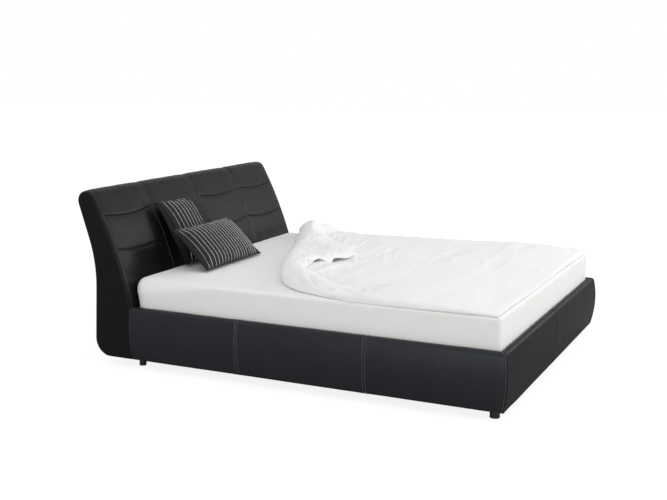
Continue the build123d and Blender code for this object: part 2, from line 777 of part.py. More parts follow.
def duvet():
    """The duvet with its folded-back head end, as one plain form."""
    near = -mattress_width / 2 + duvet_near_inset
    far = mattress_width / 2 - duvet_far_inset
    low = mattress_y - mattress_length / 2 + duvet_foot_inset
    head_end = mattress_y + mattress_length / 2
    near_head = Vector(near, head_end - duvet_near_head_gap, bedding_z)
    far_head = Vector(far, head_end - duvet_far_head_gap, bedding_z)
    outline = make_face(Polyline((near, low), (near_head.X, near_head.Y), (far_head.X, far_head.Y), (far, low),
                                 close=True))
    outline = fillet(outline.vertices(), duvet_corner_radius)
    slab = Pos(0, 0, bedding_z) * extrude(outline, duvet_thickness)
    run = far_head - near_head
    side = Vector(run.Y, -run.X, 0).normalized()
    plane = Plane(origin=near_head + side * (duvet_roll_width / 2), x_dir=side, z_dir=run)
    half = duvet_roll_width / 2
    hump = make_face(ThreePointArc((-half, 0), (0, -duvet_roll_height), (half, 0)) + Line((half, 0), (-half, 0)))
    roll = extrude(plane * hump, run.length)
    tall = Pos(0, 0, bedding_z) * extrude(outline, 2 * duvet_roll_height)
    return slab + (roll & tall)


def lens(length, thickness):
    """Section through a cushion: full in the middle, thin at the two seams."""
    half = length / 2
    full = thickness / 2
    return make_face(
        ThreePointArc((-half, cushion_edge), (0, full), (half, cushion_edge))
        + Line((half, cushion_edge), (half, -cushion_edge))
        + ThreePointArc((half, -cushion_edge), (0, -full), (-half, -cushion_edge))
        + Line((-half, -cushion_edge), (-half, cushion_edge)))


def cushion_form(size):
    """A crowned cushion standing on its lower seam, seen square on, middle at the origin."""
    cushion_width, height, thickness = size
    upright = extrude(Plane.YZ * (Rot(0, 0, 90) * lens(height, thickness)), cushion_width / 2, both=True)
    across = extrude(Plane.XY * lens(cushion_width, thickness), height / 2, both=True)
    return upright & across


def cushion_profile(size, tilt, side):
    """Points (y, z) on one face of a cushion tilted back, with its lower seam's middle at the origin."""
    height, thickness = size[1], size[2]
    sagitta = thickness / 2 - cushion_edge
    radius = (height ** 2 / 4 + sagitta ** 2) / (2 * sagitta)
    points = []
    for step in range(cushion_steps + 1):
        along = height * step / cushion_steps
        swell = cushion_edge + sqrt(radius ** 2 - (along - height / 2) ** 2) - (radius - sagitta)
        points.append((along * cos(tilt) + side * swell * sin(tilt), along * sin(tilt) - side * swell * cos(tilt)))
    return points


def lean_y(size, tilt, foot_z, face_y):
    """Where the lower seam goes so that the cushion just clears the face behind it."""
    room = min(face_y(foot_z + z) - y for y, z in cushion_profile(size, tilt, 1))
    return room - joint_gap


def cushion_foot_z(tilt):
    return bedding_z + cushion_edge * cos(tilt)


def place_cushion(size, x, tilt, y):
    foot_z = cushion_foot_z(tilt)
    centre = (x, y + size[1] / 2 * cos(tilt), foot_z + size[1] / 2 * sin(tilt))
    return Pos(*centre) * Rot(degrees(tilt) - 90, 0, 0) * cushion_form(size)


def cushions():
    """The square cushion leans on the headboard, the oblong one on the square one."""
    square_tilt = radians(square_cushion_tilt)
    oblong_tilt = radians(oblong_cushion_tilt)
    square_z = cushion_foot_z(square_tilt)
    square_y = lean_y(square_cushion, square_tilt, square_z, lambda z: head_y + front_face_y(z))
    front_points = [(square_y + y, square_z + z) for y, z in cushion_profile(square_cushion, square_tilt, -1)]

    def square_front(z):
        below = [point for point in front_points if point[1] <= z] or front_points[:1]
        above = [point for point in front_points if point[1] >= z] or front_points[-1:]
        return min(below[-1][0], above[0][0])

    oblong_y = lean_y(oblong_cushion, oblong_tilt, cushion_foot_z(oblong_tilt), square_front)
    return (place_cushion(square_cushion, square_cushion_x, square_tilt, square_y),
            place_cushion(oblong_cushion, oblong_cushion_x, oblong_tilt, oblong_y))


# ---- all nodes ---------------------------------------------------------------------------
def make_parts():
    nodes = {}

    def both_sides(name, solid):
        nodes[f"{name}_left"] = solid
        nodes[f"{name}_right"] = mirrored(solid)

    nodes["headboard_cover"] = headboard_cover()
    nodes["headboard_foam"] = headboard_foam()
    nodes["headboard_front_skin"], nodes["headboard_back_skin"] = headboard_skins()
    nodes["headboard_bottom_board"] = bottom_board()
    nodes["headboard_lower_rail"] = lower_rail()
    nodes["headboard_top_batten"] = top_batten_box()
    nodes["headboard_back_batten"] = back_batten_box()
    for index, x in enumerate(rib_positions(), start=1):
        nodes[f"headboard_rib_{index}"] = rib(x)
    both_sides("headboard_end_panel", end_panel())

    both_sides("side_rail_cover", side_cover())
    both_sides("side_rail_foam", side_piece(rail_foam_section()))
    both_sides("side_rail_board", side_board())
    both_sides("side_rail_ledge", ledge())
    nodes["footboard_cover"] = foot_cover()
    nodes["footboard_foam"] = foot_piece(rail_foam_section())
    nodes["footboard_board"] = foot_board()

    both_sides("foot_corner_fitting", corner_fitting(False))
    both_sides("head_corner_fitting", corner_fitting(True))
    both_sides("foot_end_foot", foot(False))
    both_sides("head_end_foot", foot(True))
    nodes["foot_nuts"] = foot_nuts()
    nodes["frame_bolts"] = frame_bolts()
    nodes["headboard_bolts"] = long_bolts()
    nodes["threaded_inserts"] = inserts()

    nodes["centre_beam"] = centre_beam()
    nodes["beam_hanger_foot"] = beam_hanger(False)
    nodes["beam_hanger_head"] = beam_hanger(True)
    for index in range(2):
        nodes[f"centre_leg_{index + 1}"] = centre_leg(index)
        nodes[f"levelling_glide_{index + 1}"] = levelling_glide(index)
    both_sides("slats", slats())
    both_sides("slat_holders", slat_holders())

    nodes["mattress"] = mattress()
    nodes["fitted_sheet"] = fitted_sheet()
    nodes["duvet"] = duvet()
    nodes["square_cushion"], nodes["oblong_cushion"] = cushions()
    return nodes


os.makedirs("parts", exist_ok=True)
for name, shape in make_parts().items():
    export_step(shape, f"parts/{name}.step")
print(f"width {width:.1f}, length {2 * (head_y + nose_y + headboard_nose_radius):.1f}, height {headboard_height:.1f}")
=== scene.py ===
import math

import bmesh
import bpy
import numpy as np
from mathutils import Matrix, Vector, noise


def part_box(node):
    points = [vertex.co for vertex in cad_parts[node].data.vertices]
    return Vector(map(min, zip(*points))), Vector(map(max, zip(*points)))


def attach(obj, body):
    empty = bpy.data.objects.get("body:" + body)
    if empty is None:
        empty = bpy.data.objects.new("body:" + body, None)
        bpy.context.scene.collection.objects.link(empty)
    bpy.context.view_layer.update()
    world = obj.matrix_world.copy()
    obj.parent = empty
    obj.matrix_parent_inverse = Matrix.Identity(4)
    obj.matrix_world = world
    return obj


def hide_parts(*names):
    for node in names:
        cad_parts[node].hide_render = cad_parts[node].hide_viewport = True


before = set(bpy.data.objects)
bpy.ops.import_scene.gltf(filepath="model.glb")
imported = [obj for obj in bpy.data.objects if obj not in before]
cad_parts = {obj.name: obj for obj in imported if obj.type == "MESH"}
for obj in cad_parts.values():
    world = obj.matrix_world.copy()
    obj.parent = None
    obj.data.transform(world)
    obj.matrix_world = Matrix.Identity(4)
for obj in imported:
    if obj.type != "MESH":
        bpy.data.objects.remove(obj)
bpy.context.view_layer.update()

# ---- sizes in metres, with a few counts and angles ----
HEADBOARD_COLUMNS = 4
TUCK_HEIGHTS = (0.64, 0.82)
TUCK_SAG = 0.024
TUCK_LIP, TUCK_DIP = 0.0034, 0.0012  # how far the leather stands out above a tuck and sinks below it
HEADBOARD_FULLNESS = 0.0052
HEADBOARD_MESH = (0.0125, 0.0155)
UPRIGHT_SEAM_DEPTH, BACK_SEAM_DEPTH = 0.0014, 0.0018
BACK_SEAM_PAST_CREST = 0.105
PANEL_ROLL = 0.011  # radius of the end panels' rims
RAIL_SEAMS_FROM_FOOT = (0.71, 1.42)
RAIL_SEAM_DEPTH = 0.0026
MITRE_REACH = 0.08  # length in which a cover turns into its mitre
TURNED_EDGE = 0.007  # length in which a cover draws in at its plain end
TWIN_STITCHES = (-0.007, 0.007)
MITRE_STITCHES = 0.008
STITCH_LENGTH, STITCH_PITCH, STITCH_RADIUS = 0.0052, 0.0075, 0.0007
SEAM_STITCH_RADIUS = 0.0010
TUCK_STITCH_PITCH, TUCK_STITCH_RADIUS = 0.009, 0.00045
STITCH_CORNERS = 5
HEAD_ROUNDING = (0.075, 0.080)  # of the mattress, in plan and upright
FOOT_ROUNDING = (0.016, 0.015)
BASE_ROUNDING = 0.015
SHEET_HEM = 0.078
SHEET_THICKNESS = 0.0008
DUVET_FLAP = 0.014  # thickness of the turned-back part at its hem
DUVET_ROLL = 0.085  # reach of the round at its head end
QUILT_WIDTH, QUILT_LENGTH = 0.43, 0.34  # between the duvet's stitched lines
CLOTH_MESH = 0.0115
PLEAT_RISE, PUCKER_RISE = 0.0034, 0.0026
CUSHION_EDGE = 0.0035  # half of a cushion's thickness at its seam
FILLING_REACH = 0.007  # the most that the filling moves the cushions' cloth
PIPING_RADIUS, PIPING_CORNERS = 0.0032, 8
SQUARE_TILT, OBLONG_TILT = math.radians(60), math.radians(44)
WAVE_PITCH = 0.314  # between the ridges of a wave texture whose scale is 1


# ---- shader helpers ----
def operator(operation, reflected=False):
    """A Python operator that adds a Math node."""
    def add_node(socket, other):
        pair = (other, socket) if reflected else (socket, other)
        return socket.finish.node("ShaderNodeMath", {"operation": operation}, dict(enumerate(pair)))
    return add_node


class Socket:
    """A shader socket that can be used in Python sums such as 1 - mask."""

    def __init__(self, finish, socket):
        self.finish, self.socket = finish, socket

    __add__, __radd__ = operator("ADD"), operator("ADD", True)
    __sub__, __rsub__ = operator("SUBTRACT"), operator("SUBTRACT", True)
    __mul__, __rmul__ = operator("MULTIPLY"), operator("MULTIPLY", True)
    __truediv__, __rtruediv__ = operator("DIVIDE"), operator("DIVIDE", True)


class Finish:
    """The nodes of one of the bed's surfaces, or of the world round it."""

    def __init__(self, name, world=False):
        self.made = (bpy.data.worlds if world else bpy.data.materials).new(name)
        self.made.use_nodes = True
        self.tree = self.made.node_tree
        self.tree.nodes.clear()
        self.last = "ShaderNodeOutputWorld" if world else "ShaderNodeOutputMaterial"

    def node(self, kind, settings=None, inputs=None, output=0):
        """A node with its settings made first, then its sockets given values or links."""
        made = self.tree.nodes.new(kind)
        for name, value in (settings or {}).items():
            setattr(made, name, value)
        for name, value in (inputs or {}).items():
            if isinstance(value, Socket):
                self.tree.links.new(value.socket, made.inputs[name])
            else:
                made.inputs[name].default_value = (*value, 1.0) if made.inputs[name].type == "RGBA" else value
        return Socket(self, made.outputs[output]) if made.outputs else None

    def place(self, scale=(1.0, 1.0, 1.0), turn=(0.0, 0.0, 0.0)):
        """Object coordinates, which are metres here, stretched and turned."""
        here = self.node("ShaderNodeTexCoord", output="Object")
        return self.node("ShaderNodeMapping", {}, {"Vector": here, "Scale": scale, "Rotation": turn})

    def blotches(self, size, detail=3.0, place=None):
        """Soft noise whose patches are about that wide."""
        return self.node("ShaderNodeTexNoise", {}, {"Vector": place or self.place(), "Scale": 1.0 / size,
                                                    "Detail": detail, "Roughness": 0.55}, "Fac")

    def cells(self, size, feature="F1"):
        return self.node("ShaderNodeTexVoronoi", {"feature": feature},
                         {"Vector": self.place(), "Scale": 1.0 / size}, "Distance")

    def threads(self, pitch, direction, place=None, distortion=0.0):
        """Parallel ridges a pitch apart."""
        return self.node("ShaderNodeTexWave", {"bands_direction": direction},
                         {"Vector": place or self.place(), "Scale": WAVE_PITCH / pitch,
                          "Distortion": distortion, "Detail": 1.0}, "Fac")

    def blend(self, factor, first, second):
        """One colour mixed into another by a factor."""
        return self.node("ShaderNodeMix", {"data_type": "RGBA"},
                         {"Factor": factor, "A": first, "B": second}, "Result")

    def span(self, value, low, high):
        """A 0 to 1 value spread between two numbers, kept inside them."""
        return self.node("ShaderNodeMapRange", {}, {"Value": value, "To Min": low, "To Max": high})

    def end(self, shader):
        self.node(self.last, {}, {"Surface": shader})
        return self.made

    def done(self, colour, roughness, *reliefs, **constants):
        """The material: a colour of (mask, dark, light), a roughness of (mask, low, high), and reliefs
        of (height, distance, strength)."""
        inputs = {"Base Color": self.blend(*colour), "Roughness": self.span(*roughness)}
        for height, distance, strength in reliefs:
            below = {"Normal": inputs["Normal"]} if "Normal" in inputs else {}
            inputs["Normal"] = self.node("ShaderNodeBump", {}, {"Height": height, "Distance": distance,
                                                                "Strength": strength, **below})
        inputs.update({name.replace("_", " "): value for name, value in constants.items()})
        return self.end(self.node("ShaderNodeBsdfPrincipled", {}, inputs, "BSDF"))


def leather(name, painted_light_scale, gloss):
    """Fine-grained charcoal leather; the painted_light_scale scales its colour to paint the light or shade
    falling on a part, and the gloss sets its shine.
    """
    hide = Finish(name)
    creases = hide.blotches(0.018, 4.0)
    grain, pores = hide.cells(0.0016, "SMOOTH_F1"), hide.blotches(0.0006, 2.0)
    dark, light = (tuple(painted_light_scale * part for part in tone)
                   for tone in ((0.0040, 0.0043, 0.0050), (0.0072, 0.0077, 0.0088)))
    return hide.done((hide.blotches(0.12), dark, light), (creases, 0.34, 0.47), (grain, 0.00022, 0.6),
                     (pores, 0.00008, 0.4), (creases, 0.0009, 0.35),
                     Specular_IOR_Level=gloss, Specular_Tint=(0.86, 0.92, 1.0))


def thread(name, dark, light, roughness):
    cord = Finish(name)
    twist = cord.threads(0.0011, "DIAGONAL")
    return cord.done((twist, dark, light), (twist, *roughness), (twist, 0.00015, 0.7))


def woven(name, dark, light, pitch, sheen, crease=0.0006):
    """Plain-woven cotton: crossing threads over soft creases."""
    cotton = Finish(name)
    weave = (cotton.threads(pitch, "X") + cotton.threads(pitch, "Y") + cotton.threads(pitch, "Z")) / 3.0
    soft = cotton.blotches(0.06, 4.0)
    slub = cotton.blotches(0.004, 2.0, cotton.place((1.0, 0.15, 1.0)))
    return cotton.done((cotton.span(soft * 0.7 + weave * 0.3, 0.0, 1.0), dark, light), (slub, 0.82, 0.95),
                       (weave, pitch * 0.25, 0.35), (slub, 0.0001, 0.3), (soft, crease, 0.5),
                       Sheen_Weight=sheen, Sheen_Roughness=0.5, Specular_IOR_Level=0.3)


def knitted():
    """Stretch ticking of the mattress, quilted in small diamonds."""
    ticking = Finish("mattress_ticking")
    slant = ticking.place(turn=(0.0, 0.0, math.radians(45)))
    quilt = ticking.threads(0.045, "X", slant) * ticking.threads(0.045, "Y", slant)
    stitch = ticking.threads(0.0012, "X") + ticking.threads(0.0012, "Y")
    return ticking.done((quilt, (0.62, 0.62, 0.60), (0.80, 0.80, 0.78)), (stitch, 0.8, 0.95),
                        (quilt, 0.003, 0.8), (stitch, 0.0002, 0.4), Sheen_Weight=0.1)


def satin(name, dark, light, roughness):
    """Smooth cushion cloth with a fine yarn."""
    cloth = Finish(name)
    yarn = cloth.threads(0.0009, "X") + cloth.threads(0.0009, "Z")
    tone = cloth.blotches(0.03)
    return cloth.done((cloth.span(tone * 0.6 + yarn * 0.2, 0.0, 1.0), dark, light), (tone, *roughness),
                      (yarn, 0.00025, 0.5), Sheen_Weight=0.04, Sheen_Roughness=0.4, Specular_IOR_Level=0.2)


def foam():
    """Pale yellow foam with cut open cells."""
    block = Finish("cut_foam")
    open_cells = block.cells(0.0022)
    return block.done((block.blotches(0.05), (0.62, 0.60, 0.50), (0.74, 0.72, 0.62)),
                      (open_cells, 0.85, 1.0), (open_cells, 0.0012, 0.8))


def plywood():
    """Birch ply: long figure on the faces and thin dark glue lines through the edges."""
    ply = Finish("birch_plywood")
    fibres = ply.blotches(0.0025, 3.0, ply.place((1.0, 8.0, 0.3)))
    figure = ply.blotches(0.05, 5.0, ply.place((1.0, 6.0, 0.8)))
    pale = ply.blend(figure, (0.46, 0.31, 0.17), (0.66, 0.49, 0.30))
    glue_lines = ply.threads(0.0028, "X", distortion=0.4) * 0.35
    return ply.done((glue_lines, pale, (0.30, 0.18, 0.09)), (fibres, 0.55, 0.75), (fibres, 0.0003, 0.6))


def softwood(name, dark, light, stretch):
    """Planed wood with growth rings drawn out along the grain."""
    wood = Finish(name)
    rings = wood.node("ShaderNodeTexWave", {"wave_type": "RINGS"},
                      {"Vector": wood.place(stretch), "Scale": 14.0, "Distortion": 5.0, "Detail": 4.0,
                       "Detail Scale": 1.4}, "Fac")
    fibres = wood.blotches(0.003, 4.0, wood.place(tuple(4.0 * part for part in stretch)))
    return wood.done((rings * 0.65 + fibres * 0.35, dark, light), (fibres, 0.5, 0.72),
                     (fibres, 0.00035, 0.6))


def hard(name, dark, light, patches=(0.02, 5.0), roughness=(0.38, 0.60), grain=(0.0009, 0.00012), **more):
    """Plastic, coated or plated metal: patches of wear over a fine grain, given as its size and depth."""
    shell = Finish(name)
    wear = shell.blotches(*patches)
    drawn_out = shell.place((1.0, 1.0, 6.0)) if "Metallic" in more else None
    fine = shell.blotches(grain[0], 2.0, drawn_out)
    return shell.done((wear, dark, light), (wear, *roughness), (fine, grain[1], 0.5), **more)


# One leather in lit and shaded copies: painted shade darkens the end panels and the footboard, and painted
# light brightens the rails, standing in for how the lamps fall on each part.
LEATHER = leather("charcoal_leather", 0.85, 0.20)
END_LEATHER_PAINTED_SHADE = leather("charcoal_leather_painted_shade_end", 0.55, 0.19)
RAIL_LEATHER_PAINTED_LIGHT = leather("charcoal_leather_painted_light_rail", 2.6, 0.27)
FOOT_LEATHER_PAINTED_SHADE = leather("charcoal_leather_painted_shade_foot", 0.6, 0.07)
THREAD = thread("pale_thread", (0.15, 0.155, 0.16), (0.25, 0.255, 0.26), (0.55, 0.75))
DARK_THREAD = thread("dark_thread", (0.025, 0.027, 0.03), (0.05, 0.052, 0.056), (0.5, 0.7))
TICKING = knitted()
SHEET_COTTON = woven("sheet_cotton", (0.80, 0.795, 0.78), (0.87, 0.865, 0.85), 0.0007, 0.03)
DUVET_COTTON = woven("duvet_cotton", (0.82, 0.82, 0.82), (0.875, 0.875, 0.875), 0.0005, 0.02, 0.0008)
CUSHION_DARK = satin("cushion_charcoal", (0.005, 0.006, 0.008), (0.014, 0.016, 0.019), (0.50, 0.72))
CUSHION_PALE = satin("cushion_pinstripe", (0.60, 0.61, 0.63), (0.80, 0.81, 0.83), (0.40, 0.55))
# A dark grey copy of the pinstripe: painted shade on the pale pleat edges where the cushion turns away from
# the light.
CUSHION_PINSTRIPE_PAINTED_SHADE = satin("cushion_pinstripe_painted_shade", (0.05, 0.052, 0.056), (0.10, 0.104, 0.11), (0.50, 0.65))
SLOT_FINISH = {
    "upholstery": LEATHER,
    "foam": foam(),
    "plywood": plywood(),
    "timber": softwood("planed_pine", (0.44, 0.27, 0.13), (0.68, 0.48, 0.27), (0.35, 3.0, 3.0)),
    "slat_wood": softwood("beech_slats", (0.52, 0.34, 0.19), (0.70, 0.50, 0.31), (0.3, 3.5, 3.5)),
    "frame_steel": hard("powder_coated_steel", (0.045, 0.047, 0.050), (0.085, 0.088, 0.092), (0.03, 5.0),
                        (0.40, 0.62), (0.0025, 0.0002)),
    "plated_steel": hard("zinc_plate", (0.55, 0.56, 0.58), (0.74, 0.75, 0.76), (0.006, 4.0), (0.25, 0.48),
                         (0.0012, 0.00008), Metallic=1.0),
    "foot_plastic": hard("black_plastic", (0.010, 0.010, 0.011), (0.020, 0.020, 0.021)),
    "holder_plastic": hard("grey_plastic", (0.035, 0.036, 0.038), (0.060, 0.061, 0.064)),
    "mattress_fabric": TICKING,
    "sheet_cotton": SHEET_COTTON,
    "duvet_cotton": DUVET_COTTON,
    "cushion_fabric": CUSHION_DARK,
}


# ---- mesh helpers ----
def grid_faces(rows, columns, start=0, wrap=False, ring=False):
    """Quads of a grid stored row by row; wrap joins its last row to the first, ring its last column."""
    index = np.arange(rows * columns).reshape(rows, columns) + start
    if wrap:
        index = np.vstack([index, index[:1]])
    if ring:
        index = np.hstack([index, index[:, :1]])
    low, high = index[:-1], index[1:]
    return np.stack([low[:, :-1], low[:, 1:], high[:, 1:], high[:, :-1]], axis=-1).reshape(-1, 4).tolist()


def turned(faces):
    return [face[::-1] for face in faces]


def tube_faces(rows, columns):
    """Quads between rings of points, and a flat face over each end."""
    first, last = (list(range(row * columns, (row + 1) * columns)) for row in (0, rows - 1))
    return grid_faces(rows, columns, ring=True) + [first[::-1], last]


def rim_of(rows, columns):
    """The border of a grid, as a closed loop of its points."""
    index = np.arange(rows * columns).reshape(rows, columns)
    return [*index[:, 0], *index[-1, 1:], *index[:-1, -1][::-1], *index[0, 1:-1][::-1]]


def band(loop, shift):
    """Quads from a closed loop to the same loop further on in the list of points."""
    return [[a, b, b + shift, a + shift] for a, b in zip(loop, loop[1:] + loop[:1])]


def pillow_faces(rows, columns):
    """Two grids back to back, joined round their rims."""
    size = rows * columns
    front, back = turned(grid_faces(rows, columns)), grid_faces(rows, columns, size)
    return front + back + band(rim_of(rows, columns), size)


def unit(vectors):
    return vectors / np.maximum(np.linalg.norm(vectors, axis=-1, keepdims=True), 1e-9)


def joined(*columns):
    """Points, or other rows, from their columns."""
    return np.stack(columns, axis=-1)


def spans(*parts):
    """Even places through one span after another; each is its start, end and count."""
    return np.concatenate([np.linspace(*part) for part in parts])


def link(name, data):
    """A new object of some mesh, lamp or camera data, in the scene."""
    made = bpy.data.objects.new(name, data)
    bpy.context.scene.collection.objects.link(made)
    return made


def new_mesh(name, points, faces):
    mesh = bpy.data.meshes.new(name)
    mesh.from_pydata([tuple(point) for point in points], [], faces)
    return mesh


def make_piece(name, points, faces, materials, body, tidy=True, marks=None):
    """A mesh piece that rides on a body; marks give each face's material."""
    mesh = new_mesh(name, points, faces)
    for each in materials if isinstance(materials, list) else [materials]:
        mesh.materials.append(each)
    if marks is not None:
        mesh.polygons.foreach_set("material_index", marks)
    if tidy:
        work = bmesh.new()
        work.from_mesh(mesh)
        bmesh.ops.remove_doubles(work, verts=work.verts, dist=1e-6)
        bmesh.ops.dissolve_degenerate(work, edges=work.edges, dist=1e-7)
        bmesh.ops.recalc_face_normals(work, faces=work.faces)
        work.to_mesh(mesh)
        work.free()
    mesh.shade_smooth()
    piece = link(name, mesh)
    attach(piece, body)
    return piece


def ripple(points, size, seed, octaves=3):
    """Smooth noise between -1 and 1 at each point, with waves about that long."""
    offset = Vector((seed * 7.1, seed * 3.3, seed * 5.7))
    return np.array([noise.fractal(Vector(point) / size + offset, 0.8, 2.0, octaves) for point in points])


def smooth(value, low, high):
    """0 below low, 1 above high, eased between them."""
    share = np.clip((value - low) / (high - low), 0.0, 1.0)
    return share * share * (3.0 - 2.0 * share)


def bell(value, middle, width):
    return np.exp(-((value - middle) / width) ** 2)


def bells(value, *parts):
    """Humps added up; each is its height, middle and width."""
    return sum(height * bell(value, middle, width) for height, middle, width in parts)


def curve(places):
    """A function through (x, value) pairs."""
    xs, values = zip(*places)
    return lambda x: np.interp(x, xs, values)


def along_path(places, along, values):
    """Reads rows of values, known at distances along a path, at other distances."""
    return joined(*(np.interp(places, along, column) for column in values.T))


def lengths_along(path):
    return np.concatenate([[0.0], np.cumsum(np.linalg.norm(np.diff(path, axis=0), axis=1))])


def stops(start, end, step, features=(), near=()):
    """Places from start to end a step apart, with closer ones at some distances from each feature."""
    places = list(np.linspace(start, end, max(2, int(round((end - start) / step)) + 1)))
    close = [feature + side * gap for feature in features for gap in (0.0, *near) for side in (-1, 1)]
    close = [place for place in close if start < place < end]
    clear = max(near, default=0.0) + step * 0.3
    keep = [place for place in places[1:-1] if all(abs(place - feature) > clear for feature in features)]
    return np.array(sorted(set([places[0], places[-1]] + keep + close)))


def face_loop(node, axis, level):
    """The outline of a CAD node's flat face at a level, as ordered points."""
    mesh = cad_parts[node].data
    keys = [tuple(np.round(np.array(vertex.co) * 1e6).astype(int)) for vertex in mesh.vertices]
    count = {}
    for polygon in mesh.polygons:
        if all(abs(mesh.vertices[index].co[axis] - level) < 1e-4 for index in polygon.vertices):
            corners = [keys[index] for index in polygon.vertices]
            for pair in zip(corners, corners[1:] + corners[:1]):
                edge = tuple(sorted(pair))
                count[edge] = count.get(edge, 0) + 1
    beside = {}
    for first, second in (edge for edge, uses in count.items() if uses == 1):
        beside.setdefault(first, []).append(second)
        beside.setdefault(second, []).append(first)
    loop, last, here = [], None, min(beside)
    while here not in loop[:1]:
        loop.append(here)
        last, here = here, next(corner for corner in beside[here] if corner != last)
    return np.array(loop, float) / 1e6


class Section:
    """A closed outline measured by its length, with outward normals."""

    def __init__(self, points, start):
        area = np.sum(points[:, 0] * np.roll(points[:, 1], -1) - np.roll(points[:, 0], -1) * points[:, 1])
        if area < 0:
            points = points[::-1]
        first = int(np.argmin(np.hypot(*(points - np.array(start)).T)))
        self.points = np.vstack([np.roll(points, -first, axis=0), points[first]])
        self.along = lengths_along(self.points)
        self.length = self.along[-1]

    def at(self, along):
        return along_path(np.mod(along, self.length), self.along, self.points)

    def normal(self, along, reach=0.004):
        run = unit(self.at(along + reach) - self.at(along - reach))
        return joined(run[..., 1], -run[..., 0])


def stitch_faces():
    """One stitch: three rings of points and a tip at each end."""
    count = STITCH_CORNERS
    faces, last, tips = grid_faces(3, count, ring=True), 2 * count, 3 * count
    for corner in range(count):
        after = (corner + 1) % count
        faces += [[after, corner, tips], [last + corner, last + after, tips + 1]]
    return faces


class Stitches:
    """Rows of short thread stitches gathered into one mesh."""

    def __init__(self):
        self.points, self.faces = [], []

    def row(self, path, normals, pitch=STITCH_PITCH, radius=STITCH_RADIUS):
        along = lengths_along(path)
        for middle in (np.arange(int(along[-1] / pitch)) + 0.5) * pitch:
            start, end = (along_path(middle + side * STITCH_LENGTH, along, path) for side in (-0.5, 0.5))
            run = unit(end - start)
            out = along_path(middle, along, normals)
            out = unit(out - run * np.dot(out, run))
            side = np.cross(run, out)
            self.faces += [[len(self.points) + corner for corner in face] for face in stitch_faces()]
            for share, size in ((-0.42, 0.75), (0.0, 1.0), (0.42, 0.75)):
                centre = along_path(middle + share * STITCH_LENGTH, along, path)
                centre += out * radius * (0.9 * size - 0.35)
                for turn in np.arange(STITCH_CORNERS) * 2 * math.pi / STITCH_CORNERS:
                    ray = side * math.cos(turn) * 1.25 + out * math.sin(turn)
                    self.points.append(centre + radius * size * ray)
            self.points += [tip - out * radius * 0.4 for tip in (start, end)]

    def piece(self, name, material):
        make_piece(name, self.points, self.faces, material, "bed_frame", tidy=False)


# ---- frame boxes ----
cover_low, cover_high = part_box("headboard_cover")
panel_low, panel_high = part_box("headboard_end_panel_left")
rail_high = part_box("side_rail_cover_left")[1]
foot_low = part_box("footboard_cover")[0]
sheet_low, sheet_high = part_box("fitted_sheet")
mattress_low, mattress_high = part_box("mattress")
duvet_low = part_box("duvet")[0]
half_width = -foot_low.x
headboard_half = -panel_low.x
cover_half = cover_high.x
column = 2 * headboard_half / HEADBOARD_COLUMNS
head_y, foot_y = cover_low.y, foot_low.y
head_end = rail_high.y


# ---- headboard cover ----
sleigh = Section(face_loop("headboard_end_panel_left", 0, panel_high.x)[:, 1:], (head_y, 0.06))
up_front = 1.0 if sleigh.at(0.1)[1] > sleigh.at(0.0)[1] else -1.0


def sleigh_at(run):
    """The outline at a distance from the foot of the front, going up the front and over the crest."""
    return sleigh.at(up_front * np.asarray(run))


def sleigh_normal(run):
    return sleigh.normal(up_front * np.asarray(run))


samples = np.linspace(0.0, sleigh.length, 4001)
outline = sleigh_at(samples)
crest_run = samples[int(np.argmax(outline[:, 1]))]
at_front = samples <= crest_run
back_seam_run = crest_run + BACK_SEAM_PAST_CREST


def run_at_height(height):
    """Distance up the headboard's front to a height."""
    return float(np.interp(height, outline[at_front, 1], samples[at_front]))


def front_y_at(height):
    return np.interp(height, outline[at_front, 1], outline[at_front, 0])


tuck_runs = [run_at_height(height) for height in TUCK_HEIGHTS]
seam_xs = [-headboard_half + column * index for index in range(HEADBOARD_COLUMNS + 1)]


def headboard_surface(run, x):
    """Points and normals of the leather at distances round the section and places across it."""
    run, x = (part.ravel() for part in np.broadcast_arrays(np.asarray(run, float), np.asarray(x, float)))
    share = (x + headboard_half) / column
    across = 2.0 * (share - np.floor(share)) - 1.0
    to_end = cover_half - np.abs(x)
    to_seam = np.minimum(column / 2 * (1.0 - np.abs(across)), to_end + 0.002)
    hang = smooth(run, 0.34, tuck_runs[0] - 0.03) * (1.0 - smooth(run, tuck_runs[1] + 0.02, crest_run - 0.02))
    place = run - TUCK_SAG * (1.0 - across ** 2) * hang
    flat, normal = sleigh_at(place), sleigh_normal(place)
    clear = smooth(run, run_at_height(0.49), run_at_height(0.56))
    back = 1.0 - smooth(run, back_seam_run - 0.02, back_seam_run)
    fullness = HEADBOARD_FULLNESS * (1.0 - np.exp(-to_seam / 0.026)) * clear * back
    lips = 1.0 - np.exp(-to_seam / 0.012)
    for level in tuck_runs:
        above = run - level
        over = np.where(above > 0, np.exp(-above / 0.05) * (1.0 - np.exp(-above / 0.005)), 0.0)
        under = np.where(above < 0, np.exp(above / 0.022), 0.0)
        fullness = fullness * (1.0 - 0.75 * np.exp(-np.abs(above) / 0.006))
        fullness += lips * (TUCK_LIP * over - TUCK_DIP * under)
    upright = UPRIGHT_SEAM_DEPTH * bell(to_seam, 0.0, 0.0026)
    upright = upright * (1.0 - smooth(run, back_seam_run, back_seam_run + 0.004))
    groove = np.maximum(upright, BACK_SEAM_DEPTH * bell(run, back_seam_run, 0.0028))
    points, outward = joined(x, *flat.T), joined(np.zeros_like(x), *normal.T)
    soft = 0.0011 * ripple(points * (1.0, 1.6, 1.6), 0.11, 2.0) * clear
    pulls = 0.0008 * ripple(points * (2.2, 0.7, 0.7), 0.035, 5.0)
    pulls = pulls * np.exp(-to_seam / 0.03) * back * clear
    lift = np.maximum(fullness + (soft + pulls) * smooth(to_end, 0.0, 0.01) - groove, -0.0026)
    return points + outward * lift[:, None], outward


